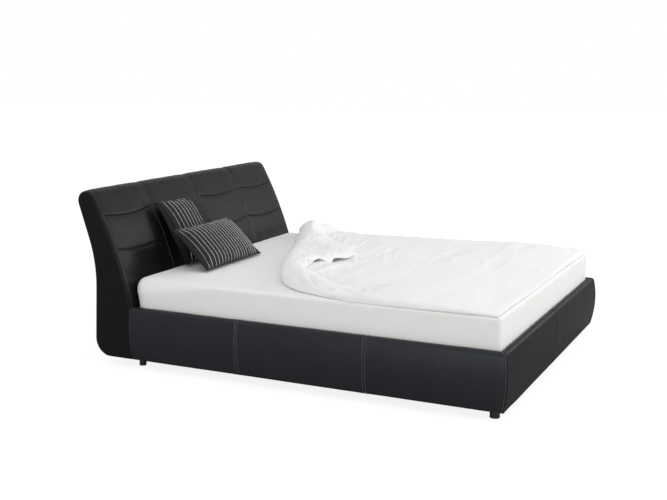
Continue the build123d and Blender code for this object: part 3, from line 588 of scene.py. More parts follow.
def make_headboard_cover():
    rows = stops(0.0, sleigh.length, HEADBOARD_MESH[0], tuck_runs + [back_seam_run],
                 (0.0012, 0.0028, 0.005, 0.008, 0.013, 0.02, 0.03))[:-1]
    columns = stops(-cover_half, cover_half, HEADBOARD_MESH[1], [-cover_half, *seam_xs[1:-1], cover_half],
                    (0.002, 0.0045, 0.008, 0.014, 0.024))
    outer, _ = headboard_surface(*np.meshgrid(rows, columns, indexing="ij"))
    inside = sleigh_at(rows) - 0.0029 * sleigh_normal(rows)
    lining = [(x, *spot) for spot in inside for x in (-cover_half, cover_half)]
    count, wide = len(rows), len(columns)
    faces = grid_faces(count, wide, wrap=True) + turned(grid_faces(count, 2, count * wide, wrap=True))
    for index in range(count):
        after = (index + 1) % count
        for side, near in ((0, 0), (1, wide - 1)):
            end = [index * wide + near, after * wide + near,
                   count * wide + 2 * after + side, count * wide + 2 * index + side]
            faces.append(end if side == 0 else end[::-1])
    points = np.vstack([outer, np.array(lining)])
    piece = make_piece("headboard_leather", points, faces, LEATHER, "bed_frame")
    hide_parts("headboard_cover")


def stitch_headboard():
    seams, tucks = Stitches(), Stitches()
    line = np.arange(run_at_height(0.07), back_seam_run - 0.002, 0.003)
    for x_seam in seam_xs[1:-1]:
        seams.row(*headboard_surface(line, x_seam + 0.0042), radius=SEAM_STITCH_RADIUS)
    for side in (-1, 1):
        seams.row(*headboard_surface(line, side * (cover_half - 0.007)))
    across = np.arange(-cover_half + 0.01, cover_half - 0.01, 0.006)
    seams.row(*headboard_surface(back_seam_run + 0.006, across))
    seams.piece("headboard_topstitching", THREAD)
    for level in tuck_runs:
        for left, right in zip(seam_xs[:-1], seam_xs[1:]):
            across = np.arange(max(left, -cover_half) + 0.009, min(right, cover_half) - 0.009, 0.004)
            tucks.row(*headboard_surface(level + 0.0045, across), TUCK_STITCH_PITCH, TUCK_STITCH_RADIUS)
    tucks.piece("tuck_stitching", DARK_THREAD)


make_headboard_cover()
stitch_headboard()


# ---- headboard end panels ----
def make_end_panel(side, sign):
    """A padded leather end: a domed face whose rim rolls in to the cover."""
    levels = spans((0.0, 0.02, 7), (0.035, 0.965, 62), (0.98, 1.0, 7))
    low, top = outline[:, 1].min(), outline[:, 1].max()
    heights = low + (top - low) * levels
    heights[0], heights[-1] = low + 0.0002, top - 0.0002
    off_floor = outline[:, 1] > low + 1e-5
    toe = ~at_front & (outline[:, 0] < head_y + 0.02) & off_floor
    heel = ~at_front & (outline[:, 0] > head_y + 0.05) & off_floor
    front, back = (np.interp(heights, *edge[np.argsort(edge[:, 1])][:, ::-1].T)
                   for edge in (outline[at_front | toe], outline[heel]))
    share = 0.5 - 0.5 * np.cos(np.linspace(0.0, math.pi, 21))
    y = front[:, None] + (back - front)[:, None] * share
    z = np.repeat(heights[:, None], len(share), axis=1)
    inward = np.array([np.linalg.norm(row[:, None] - outline[None, ::4], axis=2).min(axis=1)
                       for row in joined(y, z)])
    inward[:, 0] = inward[:, -1] = inward[0] = inward[-1] = 0.0
    roll = PANEL_ROLL - np.sqrt(PANEL_ROLL ** 2 - (PANEL_ROLL - np.minimum(inward, PANEL_ROLL)) ** 2)
    face = joined(np.zeros_like(y), y, z).reshape(-1, 3)
    soft = (0.0011 * ripple(face, 0.16, 12.0) + 0.0004 * ripple(face, 0.035, 13.0, 2)).reshape(y.shape)
    dome = (0.0016 + soft) * smooth(inward, 0.0, 0.04)
    outer = joined(sign * (headboard_half - roll + dome), y, z)
    inner = joined(np.full_like(y, sign * -panel_high.x), y, z)
    points = np.vstack([outer.reshape(-1, 3), inner.reshape(-1, 3)])
    faces = grid_faces(*y.shape) + turned(grid_faces(*y.shape, y.size)) + band(rim_of(*y.shape), y.size)
    piece = make_piece(f"headboard_end_leather_{side}", points, faces, END_LEATHER_PAINTED_SHADE, "bed_frame")
    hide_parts(f"headboard_end_panel_{side}")


make_end_panel("left", -1.0)
make_end_panel("right", 1.0)


# ---- rail and footboard covers ----
wrap_loop = face_loop("side_rail_cover_left", 1, rail_high.y)[:, [0, 2]] + np.array([half_width, 0.0])
wrap = Section(wrap_loop, (0.05, 0.05))


def wrap_rows():
    """Section points of a rail cover, their outward normals, and which lie on the outside."""
    runs = stops(0.0, wrap.length, 0.009)[:-1]
    keep = np.array(sorted(set(np.round(np.concatenate([runs, wrap.along[:-1]]), 6))))
    keep = keep[np.concatenate([[True], np.diff(keep) > 0.0006])]
    points, normals = wrap.at(keep), wrap.normal(keep, 0.0012)
    reach = np.array([np.max(wrap.points @ normal) for normal in normals])
    outside = reach - np.sum(points * normals, axis=1) < 0.0012
    return points, normals, outside


wrap_points, wrap_normals, wrap_outside = wrap_rows()


def in_order(chosen):
    """The chosen rows of the section, in order round its outside."""
    rows = np.where(chosen)[0]
    gaps = np.linalg.norm(wrap_points[rows] - np.roll(wrap_points[rows], 1, axis=0), axis=1)
    return np.roll(rows, -int(np.argmax(gaps)))


outer_rows = in_order(wrap_outside)
stitched_rows = in_order(wrap_outside & (wrap_points[:, 0] < 0.049) & (wrap_points[:, 1] > 0.0455))
rail_thread = Stitches()


class Rail:
    """The leather on one side of the frame. Its own axes are depth from outside, place along and height."""

    def __init__(self, outside, inward, ends, mitred, seams, seed, across_foot=False):
        self.outside, self.inward, self.ends, self.mitred = outside, inward, ends, mitred
        self.seams, self.seed, self.across_foot = seams, seed, across_foot

    def to_world(self, points):
        across, along = self.outside + self.inward * points[:, 0], points[:, 1]
        flat = (along, across) if self.across_foot else (across, along)
        return joined(*flat, points[:, 2])

    def surface(self, index, along):
        """Leather points for section rows at places along: taut, with sunk seams and faint ripples."""
        depth, height = wrap_points[index].T
        along = np.broadcast_to(along, depth.shape)
        spots = joined(depth, height, along * 0.6)
        lift = 0.0009 * ripple(spots, 0.16, self.seed) + 0.0004 * ripple(spots, 0.03, self.seed + 3, 2)
        for seam in self.seams:
            gap = np.abs(along - seam)
            lift -= RAIL_SEAM_DEPTH * bell(gap, 0.0, 0.0026)
            lift += 0.0010 * bell(gap, 0.011, 0.008)
            puckers = 0.0006 * np.sin(height * 260.0 + self.seed)
            lift += puckers * np.exp(-gap / 0.02) * np.minimum(gap / 0.006, 1.0)
        reach = np.minimum(np.abs(along - self.ends[0]), np.abs(along - self.ends[1]))
        lift = np.clip(lift, -0.0017, 0.0025) * smooth(reach, 0.0, 0.05) * wrap_outside[index]
        moved = wrap_points[index] + wrap_normals[index] * lift[:, None]
        return joined(moved[:, 0], along, moved[:, 1])

    def cover(self, name, node, finish):
        """Wraps the leather along the side, mitred where it meets its neighbour."""
        places = stops(*self.ends, 0.02, self.seams, (0.002, 0.0042, 0.007, 0.011, 0.016, 0.024))
        edge = self.ends[1] - np.array([0.0015, 0.003, 0.005, TURNED_EDGE])
        grid = []
        for place in np.unique(np.round(np.concatenate([places, edge]), 6)):
            ring = self.surface(np.arange(len(wrap_points)), place)
            for end, mitred, inward in zip(self.ends, self.mitred, (1, -1)):
                gap = abs(place - end)
                if not mitred and gap < TURNED_EDGE:
                    drawn_in = 0.0019 * wrap_outside * (1.0 - gap / TURNED_EDGE) ** 2
                    ring[:, [0, 2]] -= wrap_normals * drawn_in[:, None]
                if mitred and gap < MITRE_REACH:
                    start = end + inward * (ring[:, 0] + 0.0002)
                    ring[:, 1] = start + (end + inward * MITRE_REACH - start) * (gap / MITRE_REACH)
            grid.append(ring)
        faces, points = tube_faces(len(grid), len(wrap_points)), np.vstack(grid)
        if not self.mitred[1]:
            cap = list(range(len(points), len(points) + len(outer_rows)))
            turned_in = [grid[-1][outer_rows] + [0.0, shift, 0.0] for shift in (-0.0010, 0.00015)]
            points = np.vstack([points, *turned_in])
            faces += [cap[::-1], [corner + len(cap) for corner in cap]] + band(cap, len(cap))
        piece = make_piece(name, self.to_world(points), faces, finish, "bed_frame")
        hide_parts(node)

    def stitch(self, start, slope=0.0):
        """A row of stitches up the outside; its place along shifts by the slope times the depth."""
        ring = self.surface(stitched_rows, start + slope * wrap_points[stitched_rows, 0])
        ahead = ring + np.insert(wrap_normals[stitched_rows], 1, 0.0, axis=1)
        path = self.to_world(ring)
        rail_thread.row(path, self.to_world(ahead) - path)


side_seams = [foot_y + distance for distance in RAIL_SEAMS_FROM_FOOT]
for side, sign, seed in (("left", 1.0, 1.0), ("right", -1.0, 2.0)):
    rail = Rail(-sign * half_width, sign, (foot_y, head_end), (True, False), side_seams, seed)
    rail.cover(f"side_rail_leather_{side}", f"side_rail_cover_{side}", RAIL_LEATHER_PAINTED_LIGHT)
    for seam in side_seams:
        for offset in TWIN_STITCHES:
            rail.stitch(seam + offset)
    rail.stitch(foot_y + MITRE_STITCHES, 1.0)
footboard = Rail(foot_y, 1.0, (-half_width, half_width), (True, True), [0.0], 3.0, across_foot=True)
footboard.cover("footboard_leather", "footboard_cover", FOOT_LEATHER_PAINTED_SHADE)
for offset in TWIN_STITCHES:
    footboard.stitch(offset)
footboard.stitch(-half_width + MITRE_STITCHES, 1.0)
footboard.stitch(half_width - MITRE_STITCHES, -1.0)
rail_thread.piece("rail_topstitching", THREAD)


# ---- mattress and fitted sheet ----
def block_grid(low, high, axes):
    """The surface of a block on given grid lines, with shared corners welded."""
    points, faces = [], []
    for axis in range(3):
        first, second = [other for other in range(3) if other != axis]
        a, b = np.meshgrid(axes[first], axes[second], indexing="ij")
        for level, flip in ((low[axis], axis != 1), (high[axis], axis == 1)):
            layer = np.zeros((a.size, 3))
            layer[:, first], layer[:, second], layer[:, axis] = a.ravel(), b.ravel(), level
            made = grid_faces(*a.shape, len(points))
            faces += turned(made) if flip else made
            points += layer.tolist()
    unique, inverse = np.unique(np.round(np.array(points), 7), axis=0, return_inverse=True)
    return unique, inverse.ravel()[np.array(faces)]


def bed_axes(low, high, step):
    """Grid lines of the mattress: a step apart, closer where its edges round off."""
    axes = []
    for axis, edge in enumerate((HEAD_ROUNDING[0], *HEAD_ROUNDING)):
        fine = np.array([0.0, 0.1, 0.2, 0.3, 0.42, 0.55, 0.7, 0.85, 1.0]) * edge
        count = max(3, int((high[axis] - low[axis] - 2 * edge) / step) + 1)
        inner = np.linspace(low[axis] + edge, high[axis] - edge, count)
        axes.append(np.unique(np.round(np.concatenate([low[axis] + fine, inner, high[axis] - fine]), 6)))
    return axes


def mattress_radii(points):
    """Rounding in plan and upright: wide at the head corners, crisp at the foot, tight at the base."""
    at_head = smooth(points[:, 1], 0.35, 0.75)
    upper = smooth(points[:, 2], 0.33, 0.40)
    (head_flat, head_tall), (foot_flat, foot_tall) = HEAD_ROUNDING, FOOT_ROUNDING
    flat = foot_flat + (head_flat - foot_flat) * at_head
    tall = BASE_ROUNDING + (foot_tall - BASE_ROUNDING + (head_tall - foot_tall) * at_head) * upper
    return joined(flat, flat, tall)


def press_to_headboard(points, gap):
    """Draws the head end out to the headboard's leaning front."""
    front = front_y_at(np.clip(points[:, 2], 0.06, 0.6))
    points[:, 1] += (front - head_y) * smooth(points[:, 1], head_y - 0.5, head_y - 0.04)
    points[:, 1] = np.minimum(points[:, 1], front - gap)


def bed_block(low, high, step, gap):
    """A block as a grid, the same with its edges rounded and its head end pressed up, normals and faces."""
    grid, faces = block_grid(low, high, bed_axes(low, high, step))
    radii = mattress_radii(grid)
    core = np.clip(grid, low + radii, high - radii)
    normals = unit((grid - core) / radii)
    points = core + normals * radii
    press_to_headboard(points, gap)
    return grid, points, normals, faces


def make_mattress():
    low = np.array([mattress_low.x + 0.004, mattress_low.y + 0.004, mattress_low.z + 0.001])
    high = np.array([mattress_high.x - 0.004, head_y - 0.008, mattress_high.z - 0.008])
    _, points, _, faces = bed_block(low, high, 0.03, 0.007)
    piece = make_piece("mattress_core", points, faces.tolist(), TICKING, "mattress")
    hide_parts("mattress")


def make_sheet():
    low = np.array(sheet_low)
    high = np.array([sheet_high.x, head_y - 0.002, sheet_high.z - 0.0022])
    grid, points, normals, faces = bed_block(low, high, 0.016, 0.002)
    open_under = (np.abs(grid[:, 2] - low[2]) < 1e-6) & (np.abs(grid[:, 0]) < high[0] - SHEET_HEM)
    open_under &= (grid[:, 1] > low[1] + SHEET_HEM) & (grid[:, 1] < high[1] - SHEET_HEM)
    faces = [face for face in faces.tolist() if not all(open_under[face])]
    side = 1.0 - np.abs(normals[:, 2])
    on_top = np.maximum(normals[:, 2], 0.0)
    waves = ripple(points * (1.0, 1.0, 0.35), 0.16, 4.0)
    fine = ripple(points * (1.0, 1.0, 0.5), 0.045, 6.0)
    lift = side * (0.0022 * waves + 0.0007 * fine) + on_top * (0.0010 * waves + 0.0004 * fine)
    to_end = np.minimum(np.abs(points[:, 1] - low[1]), np.abs(points[:, 1] - high[1]))
    corner = bell(np.abs(points[:, 0]), half_width - 0.06, 0.10) * bell(to_end, 0.0, 0.12)
    folds = np.sin((points[:, 2] + points[:, 1] * 0.8) * 70.0) * corner * side * 0.0006
    above_rail = smooth(points[:, 2], sheet_low.z + 0.06, sheet_low.z + 0.10)
    points = points + normals * (np.minimum(lift + folds, 0.0028) * above_rail)[:, None]
    piece = make_piece("fitted_sheet_cotton", points, faces, SHEET_COTTON, "mattress")
    thicken = piece.modifiers.new("cloth_thickness", "SOLIDIFY")
    thicken.thickness = SHEET_THICKNESS
    thicken.offset = -1.0
    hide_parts("fitted_sheet")


make_mattress()
make_sheet()


# ---- duvet ----
duvet_base = duvet_low.z + 0.0004
sheet_half = sheet_high.x


def bed_drop(x, y):
    """How far the duvet sinks where the mattress rounds off: least where its near edge lifts off."""
    wide, tall = FOOT_ROUNDING
    fall = 0.0
    lifted = 1.0 - 0.45 * smooth(-y, 0.6, -sheet_low.y - 0.05)
    for inside, hug in ((sheet_half - x, 1.0), (sheet_half + x, lifted), (y - sheet_low.y, 1.0)):
        share = 1.0 - np.clip(inside / wide, 0.02, 1.0)
        settled = 0.0015 * bell(inside, 0.0, 0.03)
        fall = fall + hug * (tall * (1.0 - np.sqrt(1.0 - share ** 2)) + settled)
    return np.minimum(fall, 0.0135)


# where the turned-back head end reaches at a place across the bed
duvet_head = curve([(-0.890, -0.36), (-0.875, -0.26), (-0.858, -0.20), (-0.80, -0.05), (-0.754, 0.02),
                    (-0.70, 0.08), (-0.59, 0.15), (-0.41, 0.24), (-0.23, 0.33), (0.06, 0.43), (0.35, 0.555),
                    (0.65, 0.68), (0.80, 0.715), (0.87, 0.66)])
# where the turned-back part ends on top, in lobes
hem_line = curve([(-0.90, -0.70), (-0.80, -0.46), (-0.70, -0.22), (-0.62, -0.05), (-0.575, 0.05),
                  (-0.55, 0.082), (-0.50, 0.078), (-0.46, 0.088), (-0.42, 0.096), (-0.35, 0.112),
                  (-0.26, 0.128), (-0.21, 0.118), (-0.175, 0.078), (-0.145, 0.066), (-0.11, 0.074),
                  (-0.065, 0.034), (-0.02, 0.010), (0.04, 0.016), (0.10, 0.045), (0.16, 0.075),
                  (0.30, 0.12), (0.48, 0.17), (0.90, 0.40)])
# how much fuller or thinner the far side is than the rest, from the foot up
far_fullness = curve([(-1.19, 0.0), (-1.13, 0.013), (-1.05, 0.018), (-0.93, 0.019), (-0.78, 0.018),
                      (-0.66, 0.011), (-0.52, 0.004), (-0.36, 0.0), (-0.20, -0.005), (0.30, -0.006),
                      (0.60, 0.0)])
# single ridges and grooves round the turned-back corner: start, end, width and height
PLEATS = (
    ((-0.53, 0.050), (-0.47, 0.020), 0.007, -0.014),
    ((-0.46, -0.030), (-0.31, -0.115), 0.006, -0.014),
    ((-0.47, 0.015), (-0.20, -0.055), 0.028, 0.010),
    ((-0.06, 0.020), (-0.03, -0.060), 0.050, -0.014),
    ((0.13, 0.045), (-0.17, -0.090), 0.012, 0.006),
    ((-0.845, -0.13), (-0.70, 0.055), 0.011, -0.009),
    ((-0.86, -0.20), (-0.76, -0.10), 0.009, -0.008),
    ((-0.86, -0.27), (-0.80, -0.17), 0.009, -0.006),
)
# places that creases run out from: x, y, how many, and their turn
GATHERS = ((-0.55, 0.05, 9, 0.3), (-0.79, -0.06, 7, 1.9), (-0.84, -0.17, 6, 0.9), (-0.70, -0.45, 7, 0.2))


def flap(x):
    """How much of the turned-back part is left at its hem: none at the two ends, where it runs out."""
    return smooth(x, -0.60, -0.50) * (1.0 - smooth(x, 0.08, 0.42))


def gape(x):
    """How far the hem stands off the duvet below it: open at two places, shut elsewhere."""
    return 0.0008 + bells(x, (0.015, -0.215, 0.045), (0.004, -0.085, 0.034), (0.019, -0.525, 0.022))


def trench(x, y, hem):
    """The duvet below dips towards the open hem, in a facet with one slanting edge."""
    edge = -0.079 + (x + 0.186) * 0.437
    return 0.17 * smooth(x, -0.205, -0.168) * np.maximum(np.minimum(y, hem) - edge, 0.0) * (x < 0.155)


def crest_height(x):
    """Height of the roll along the head end."""
    humps = bells(x, (0.036, -0.70, 0.15), (0.050, 0.70, 0.11), (0.008, -0.25, 0.15), (-0.008, 0.25, 0.22))
    return (0.060 + humps) * (0.35 + 0.65 * smooth(x, -0.90, -0.76))


def body_height(x, y, head):
    """Top of the duvet's body: crowned boxed filling, thin at the stitched lines, the sides and the foot."""
    up = y - sheet_low.y
    across = np.abs(np.sin(math.pi * (x + 0.86) / QUILT_WIDTH)) ** 0.5
    along = np.abs(np.sin(math.pi * up / QUILT_LENGTH)) ** 0.5
    crown = 0.013 * np.sin(math.pi * np.clip(up / (head - sheet_low.y), 0.0, 1.0))
    filled = 0.80 + 0.20 * smooth(sheet_half - np.abs(x), 0.005, 0.10)
    filled = filled * (0.48 + 0.52 * smooth(up, 0.0, 0.42))
    return (0.022 + 0.006 * across * along + crown) * filled + far_fullness(y) * smooth(x, 0.10, 0.75)


def arc(y, z, reach, rise, degrees):
    turn = np.radians(degrees)
    return y + reach * np.cos(turn), z + rise * np.sin(turn)


def duvet_section(x):
    """One cross-section as y and z, from the head under to the foot and back over the top."""
    head, hem, present = duvet_head(x), hem_line(x), flap(x)
    foot = sheet_low.y + 0.013 + 0.003 * math.sin(x * 6.0)
    thick, lip, pocket = DUVET_FLAP * present, 0.010 * present, 0.004 + 0.085 * present
    under = spans((head - 0.03, foot + 0.06, 12), (foot + 0.045, foot + 0.004, 6))
    over = np.concatenate([foot + np.array([0.006, 0.012, 0.020, 0.030, 0.042]),
                           spans((foot + 0.056, hem - 0.27, 68), (hem - 0.262, hem, 62))])
    rise = 0.009 + (body_height(x, over, head) - 0.009) * smooth(over, foot, foot + 0.012)
    sunk = trench(x, hem, hem)
    floor = body_height(x, hem, head) - sunk
    gap = (gape(x) + sunk * bell(x, -0.090, 0.042)) * present
    dip = 0.35 * gap + 0.004 * present
    inward, outward = np.linspace(0.12, 1.0, 9), np.linspace(0.92, 0.0, 9)
    start, top, roll = hem + 0.5 * lip, floor + gap + thick, head - DUVET_ROLL
    shoulder = max(crest_height(x), top)
    width = 0.24 - 0.125 * smooth(x, 0.40, 0.68)  # in which the roll runs down to the flat part
    back = start + (roll - start) * np.linspace(0.02, 1.0, 58) ** 1.1
    climb = smooth(back, roll - width, roll)
    puff = 0.016 * present * (1.0 - np.exp(-(back - start) / 0.035)) * (1.0 - climb)
    round_head = np.linspace(82, -78, 16)
    return np.hstack([
        (under, -bed_drop(x, under)),
        arc(foot + 0.004, 0.005 - bed_drop(x, foot + 0.004), -0.004, 0.005, np.linspace(-70, 70, 6)),
        (over, rise - bed_drop(x, over) - trench(x, over, hem)),
        (hem + pocket * inward, floor - dip * np.sin(inward * math.pi * 0.5)),
        (hem + pocket * outward, floor - dip + (dip + gap) * (1.0 - outward) ** 0.5),
        arc(start, floor + gap + 0.5 * thick, -lip, 0.5 * thick, np.linspace(-80, 84, 8)),
        (back, top + (shoulder - top) * climb + puff),
        arc(roll, 0.42 * shoulder, DUVET_ROLL, 0.58 * shoulder, round_head[:8]),
        arc(head - 0.030, 0.42 * shoulder, 0.030, 0.50 * shoulder, round_head[8:]),
    ])


def pleat(points, start, end, width, height):
    """A ridge, or with a negative height a groove, along a straight line that fades at its ends."""
    start, run = np.array(start), np.array(end) - np.array(start)
    share = np.clip(((points[:, :2] - start) @ run) / (run @ run), 0.0, 1.0)
    away = np.linalg.norm(points[:, :2] - start - share[:, None] * run, axis=1)
    return height * bell(away, 0.0, width) * (0.35 + 0.65 * np.sin(math.pi * share))


def duvet_wrinkles(points):
    """Soft dents in the filling, long creases across the bed, and the folds round the turned-back corner."""
    x, y = points[:, 0], points[:, 1]
    slant = joined(x * 0.99 + y * 0.12, y * 0.99 - x * 0.12, points[:, 2])
    soft = ripple(slant * (0.7, 1.3, 1.0), 0.24, 8.0, 2)
    dents = ripple(slant * (0.7, 1.3, 1.0), 0.075, 9.0, 2)
    crease = 1.0 - np.minimum(np.abs(ripple(slant * (0.28, 1.3, 0.8), 0.15, 11.0, 2)) * 6.0, 1.0)
    fine = 1.0 - np.minimum(np.abs(ripple(slant * (0.5, 1.4, 0.8), 0.055, 14.0, 2)) * 4.0, 1.0)
    folded = smooth(y - duvet_head(x), -0.70, -0.12)
    far = smooth(x, -0.35, 0.35)
    lift = 0.0040 * soft + (0.0010 + 0.0026 * folded) * dents + 0.0026 * folded * fine
    lift += (0.0010 + 0.0028 * far + 0.0010 * folded) * crease
    for line in PLEATS:
        lift += pleat(points, *line)
    for middle_x, middle_y, count, turn in GATHERS:
        reach, angle = np.hypot(x - middle_x, y - middle_y), np.arctan2(y - middle_y, x - middle_x)
        lift += 0.0036 * np.sin(count * angle + turn) * np.exp(-reach / 0.07) * smooth(reach, 0.0, 0.04)
    return lift


def make_duvet():
    """Cross-sections side by side, closed down to a thin lip along the two long edges."""
    edge = np.array([0.0, 0.0012, 0.003, 0.006, 0.010, 0.016, 0.024, 0.034, 0.046, 0.060])
    half = sheet_half - 0.003
    inner = spans((-half + 0.073, -0.60, 20), (-0.594, 0.02, 104), (0.03, half - 0.073, 76))
    sections = []
    for x in np.concatenate([edge - half, inner, (half - edge)[::-1]]):
        y, z = duvet_section(x)
        height = z + bed_drop(x, y)
        share = np.clip((half - abs(x)) / (0.014 + 0.55 * np.maximum(height - 0.012, 0.0)), 0.0, 1.0)
        full = np.sqrt(1.0 - (1.0 - share) ** 2)
        middle = np.minimum(0.002 + 0.005 * smooth(-y, 0.45, 1.0), height * 0.5 + 0.001)
        height = middle + (height - middle) * (0.06 + 0.94 * full)
        sections.append(joined(np.full_like(y, x), y, duvet_base - bed_drop(x, y) + height))
    grid = np.array(sections)
    around = np.roll(grid, -1, axis=1) - np.roll(grid, 1, axis=1)
    normals = unit(np.cross(around, np.gradient(grid, axis=0))).reshape(-1, 3)
    points = grid.reshape(-1, 3)
    if normals[:, 2] @ (points[:, 2] - duvet_base) < 0:
        normals = -normals
    above = smooth(points[:, 2] - duvet_base, 0.004, 0.020) * smooth(normals[:, 2], -0.55, 0.15)
    points = points + normals * (duvet_wrinkles(points) * above)[:, None]
    points[:, 2] = np.maximum(points[:, 2], duvet_base - bed_drop(points[:, 0], points[:, 1]))
    faces = tube_faces(*grid.shape[:2])
    piece = make_piece("duvet_cotton", points, faces, DUVET_COTTON, "duvet")
    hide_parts("duvet")


make_duvet()


# ---- cushions ----
CLOTH = {"quality": 6, "mass": 0.2, "tension_stiffness": 18, "compression_stiffness": 12,
         "shear_stiffness": 6, "bending_stiffness": 0.25, "use_pressure": True,
         "uniform_pressure_force": 4.0, "shrink_min": -0.07, "vertex_group_mass": "seam"}
# one pressed pleat: distance from its edge, share of its full height, and 1 where its pale edge starts
PLEAT_SHAPE = ((0.0, 0.0, 1), (0.0006, 0.55, 0), (0.0012, 0.85, 0), (0.0020, 1.0, 0), (0.0040, 0.95, 0),
               (0.008, 0.68, 0), (0.0125, 0.42, 0))


def crowned_face(width, height, thickness, count_u, count_v):
    """Front face of a cushion in its own frame: x across, y up, z out of the face."""
    u, v = np.meshgrid(np.linspace(-1, 1, count_u), np.linspace(-1, 1, count_v), indexing="ij")
    x = u * width / 2 * (1 - 0.050 * (1 - np.abs(v) ** 3))
    y = v * height / 2 * (1 - 0.055 * (1 - np.abs(u) ** 3))
    dome = np.clip((1 - np.abs(u) ** 2.4) * (1 - np.abs(v) ** 2.4), 0, 1) ** 0.62
    return joined(x, y, thickness / 2 * dome)


def blow_up(front, back):
    """Fills a closed pair of cloth faces, with the seam held, and returns them."""
    rows, columns = front.shape[:2]
    points = np.vstack([front.reshape(-1, 3), back.reshape(-1, 3)])
    body = link("cloth_try", new_mesh("cloth_try", points, pillow_faces(rows, columns)))
    seam = [int(corner) for corner in rim_of(rows, columns)]
    held = body.vertex_groups.new(name="seam")
    held.add(seam + [corner + rows * columns for corner in seam], 1.0, "REPLACE")
    cloth = body.modifiers.new("cloth", "CLOTH")
    for name, value in CLOTH.items():
        setattr(cloth.settings, name, value)
    cloth.settings.effector_weights.gravity = 0.0
    cloth.collision_settings.use_collision = False
    scene = bpy.context.scene
    for step in range(1, 21):
        scene.frame_set(step)
    filled = body.evaluated_get(bpy.context.evaluated_depsgraph_get())
    moved = np.array([vertex.co for vertex in filled.data.vertices]) - points
    scene.frame_set(1)
    bpy.data.objects.remove(body)
    moved *= FILLING_REACH / (FILLING_REACH + np.linalg.norm(moved, axis=1, keepdims=True))
    faces = []
    for face, shift in ((front, moved[:rows * columns]), (back, moved[rows * columns:])):
        shift = shift.reshape(face.shape)
        for axis, middle in ((0, np.s_[1:-1]), (1, np.s_[:, 1:-1])):
            blurred = (np.roll(shift, 1, axis) + 2 * shift + np.roll(shift, -1, axis)) / 4
            shift = shift.copy()
            shift[middle] = blurred[middle]
        faces.append(face + shift)
    return faces


def resample(grid, places_u, places_v):
    """Reads a grid of points at finer places, 0 to 1 each way."""
    def along(values, places):
        count = values.shape[0] - 1
        spot = np.clip(places * count, 0, count)
        low = np.clip(np.floor(spot).astype(int), 0, count - 1)
        t = (spot - low)[:, None, None]
        a, b, c, d = [values[np.clip(low + step, 0, count)] for step in (-1, 0, 1, 2)]
        return b + 0.5 * t * (c - a + t * (2 * a - 5 * b + 4 * c - d + t * (3 * (b - c) + d - a)))
    return along(along(grid, places_u).transpose(1, 0, 2), places_v).transpose(1, 0, 2)


def noise_field(across, up, seed):
    return np.array([[noise.noise(Vector((x, y, seed))) for y in up] for x in across])


def pleat_rows(width, pitch, plain):
    """Places across a cushion, 0 to 1, how far out each stands, and where a pale edge starts."""
    start, end = plain, width - plain * 0.55
    rows = [(place, 0.0, 0) for place in (0.0, 0.004, 0.010, 0.018, *np.arange(0.026, start, 0.008))]
    here = start
    while here + pitch <= end:
        pleat_width = pitch * (1.25 - 0.42 * (here - start) / (end - start))
        shape = (*PLEAT_SHAPE, (pleat_width - 0.0035, 0.08, 0))
        rows += [(here + step, rise, pale) for step, rise, pale in shape]
        here += pleat_width
    rest = (*np.arange(here, width - 0.02, 0.008), width - 0.018, width - 0.010, width - 0.004, width)
    places, rises, pale = np.array(rows + [(place, 0.0, 0) for place in rest]).T
    places = places / width
    keep = np.concatenate([[True], np.diff(places) > 1e-5])
    return places[keep], rises[keep], pale[keep]


def tilted(points, tilt, centre):
    """From a cushion's own frame to where it leans."""
    x, y, z = points.T
    cos, sin = math.cos(tilt), math.sin(tilt)
    return joined(x, y * cos - z * sin, y * sin + z * cos) + centre


def piping(name, path, body):
    """A closed covered cord along a seam."""
    closed = np.vstack([path, path[:1]])
    along = lengths_along(closed)
    line = along_path(np.linspace(0, along[-1], int(along[-1] / 0.006), endpoint=False), along, closed)
    line = (np.roll(line, 1, axis=0) + 2 * line + np.roll(line, -1, axis=0)) / 4
    run = unit(np.roll(line, -1, axis=0) - np.roll(line, 1, axis=0))
    out = line - line.mean(axis=0)
    out = unit(out - run * np.sum(out * run, axis=1, keepdims=True))
    side = np.cross(run, out)
    rings = np.stack([line + PIPING_RADIUS * (out * math.cos(turn) + side * math.sin(turn))
                      for turn in np.arange(PIPING_CORNERS) * 2 * math.pi / PIPING_CORNERS], axis=1)
    faces = grid_faces(len(line), PIPING_CORNERS, wrap=True, ring=True)
    make_piece(name, rings.reshape(-1, 3), faces, CUSHION_DARK, body)


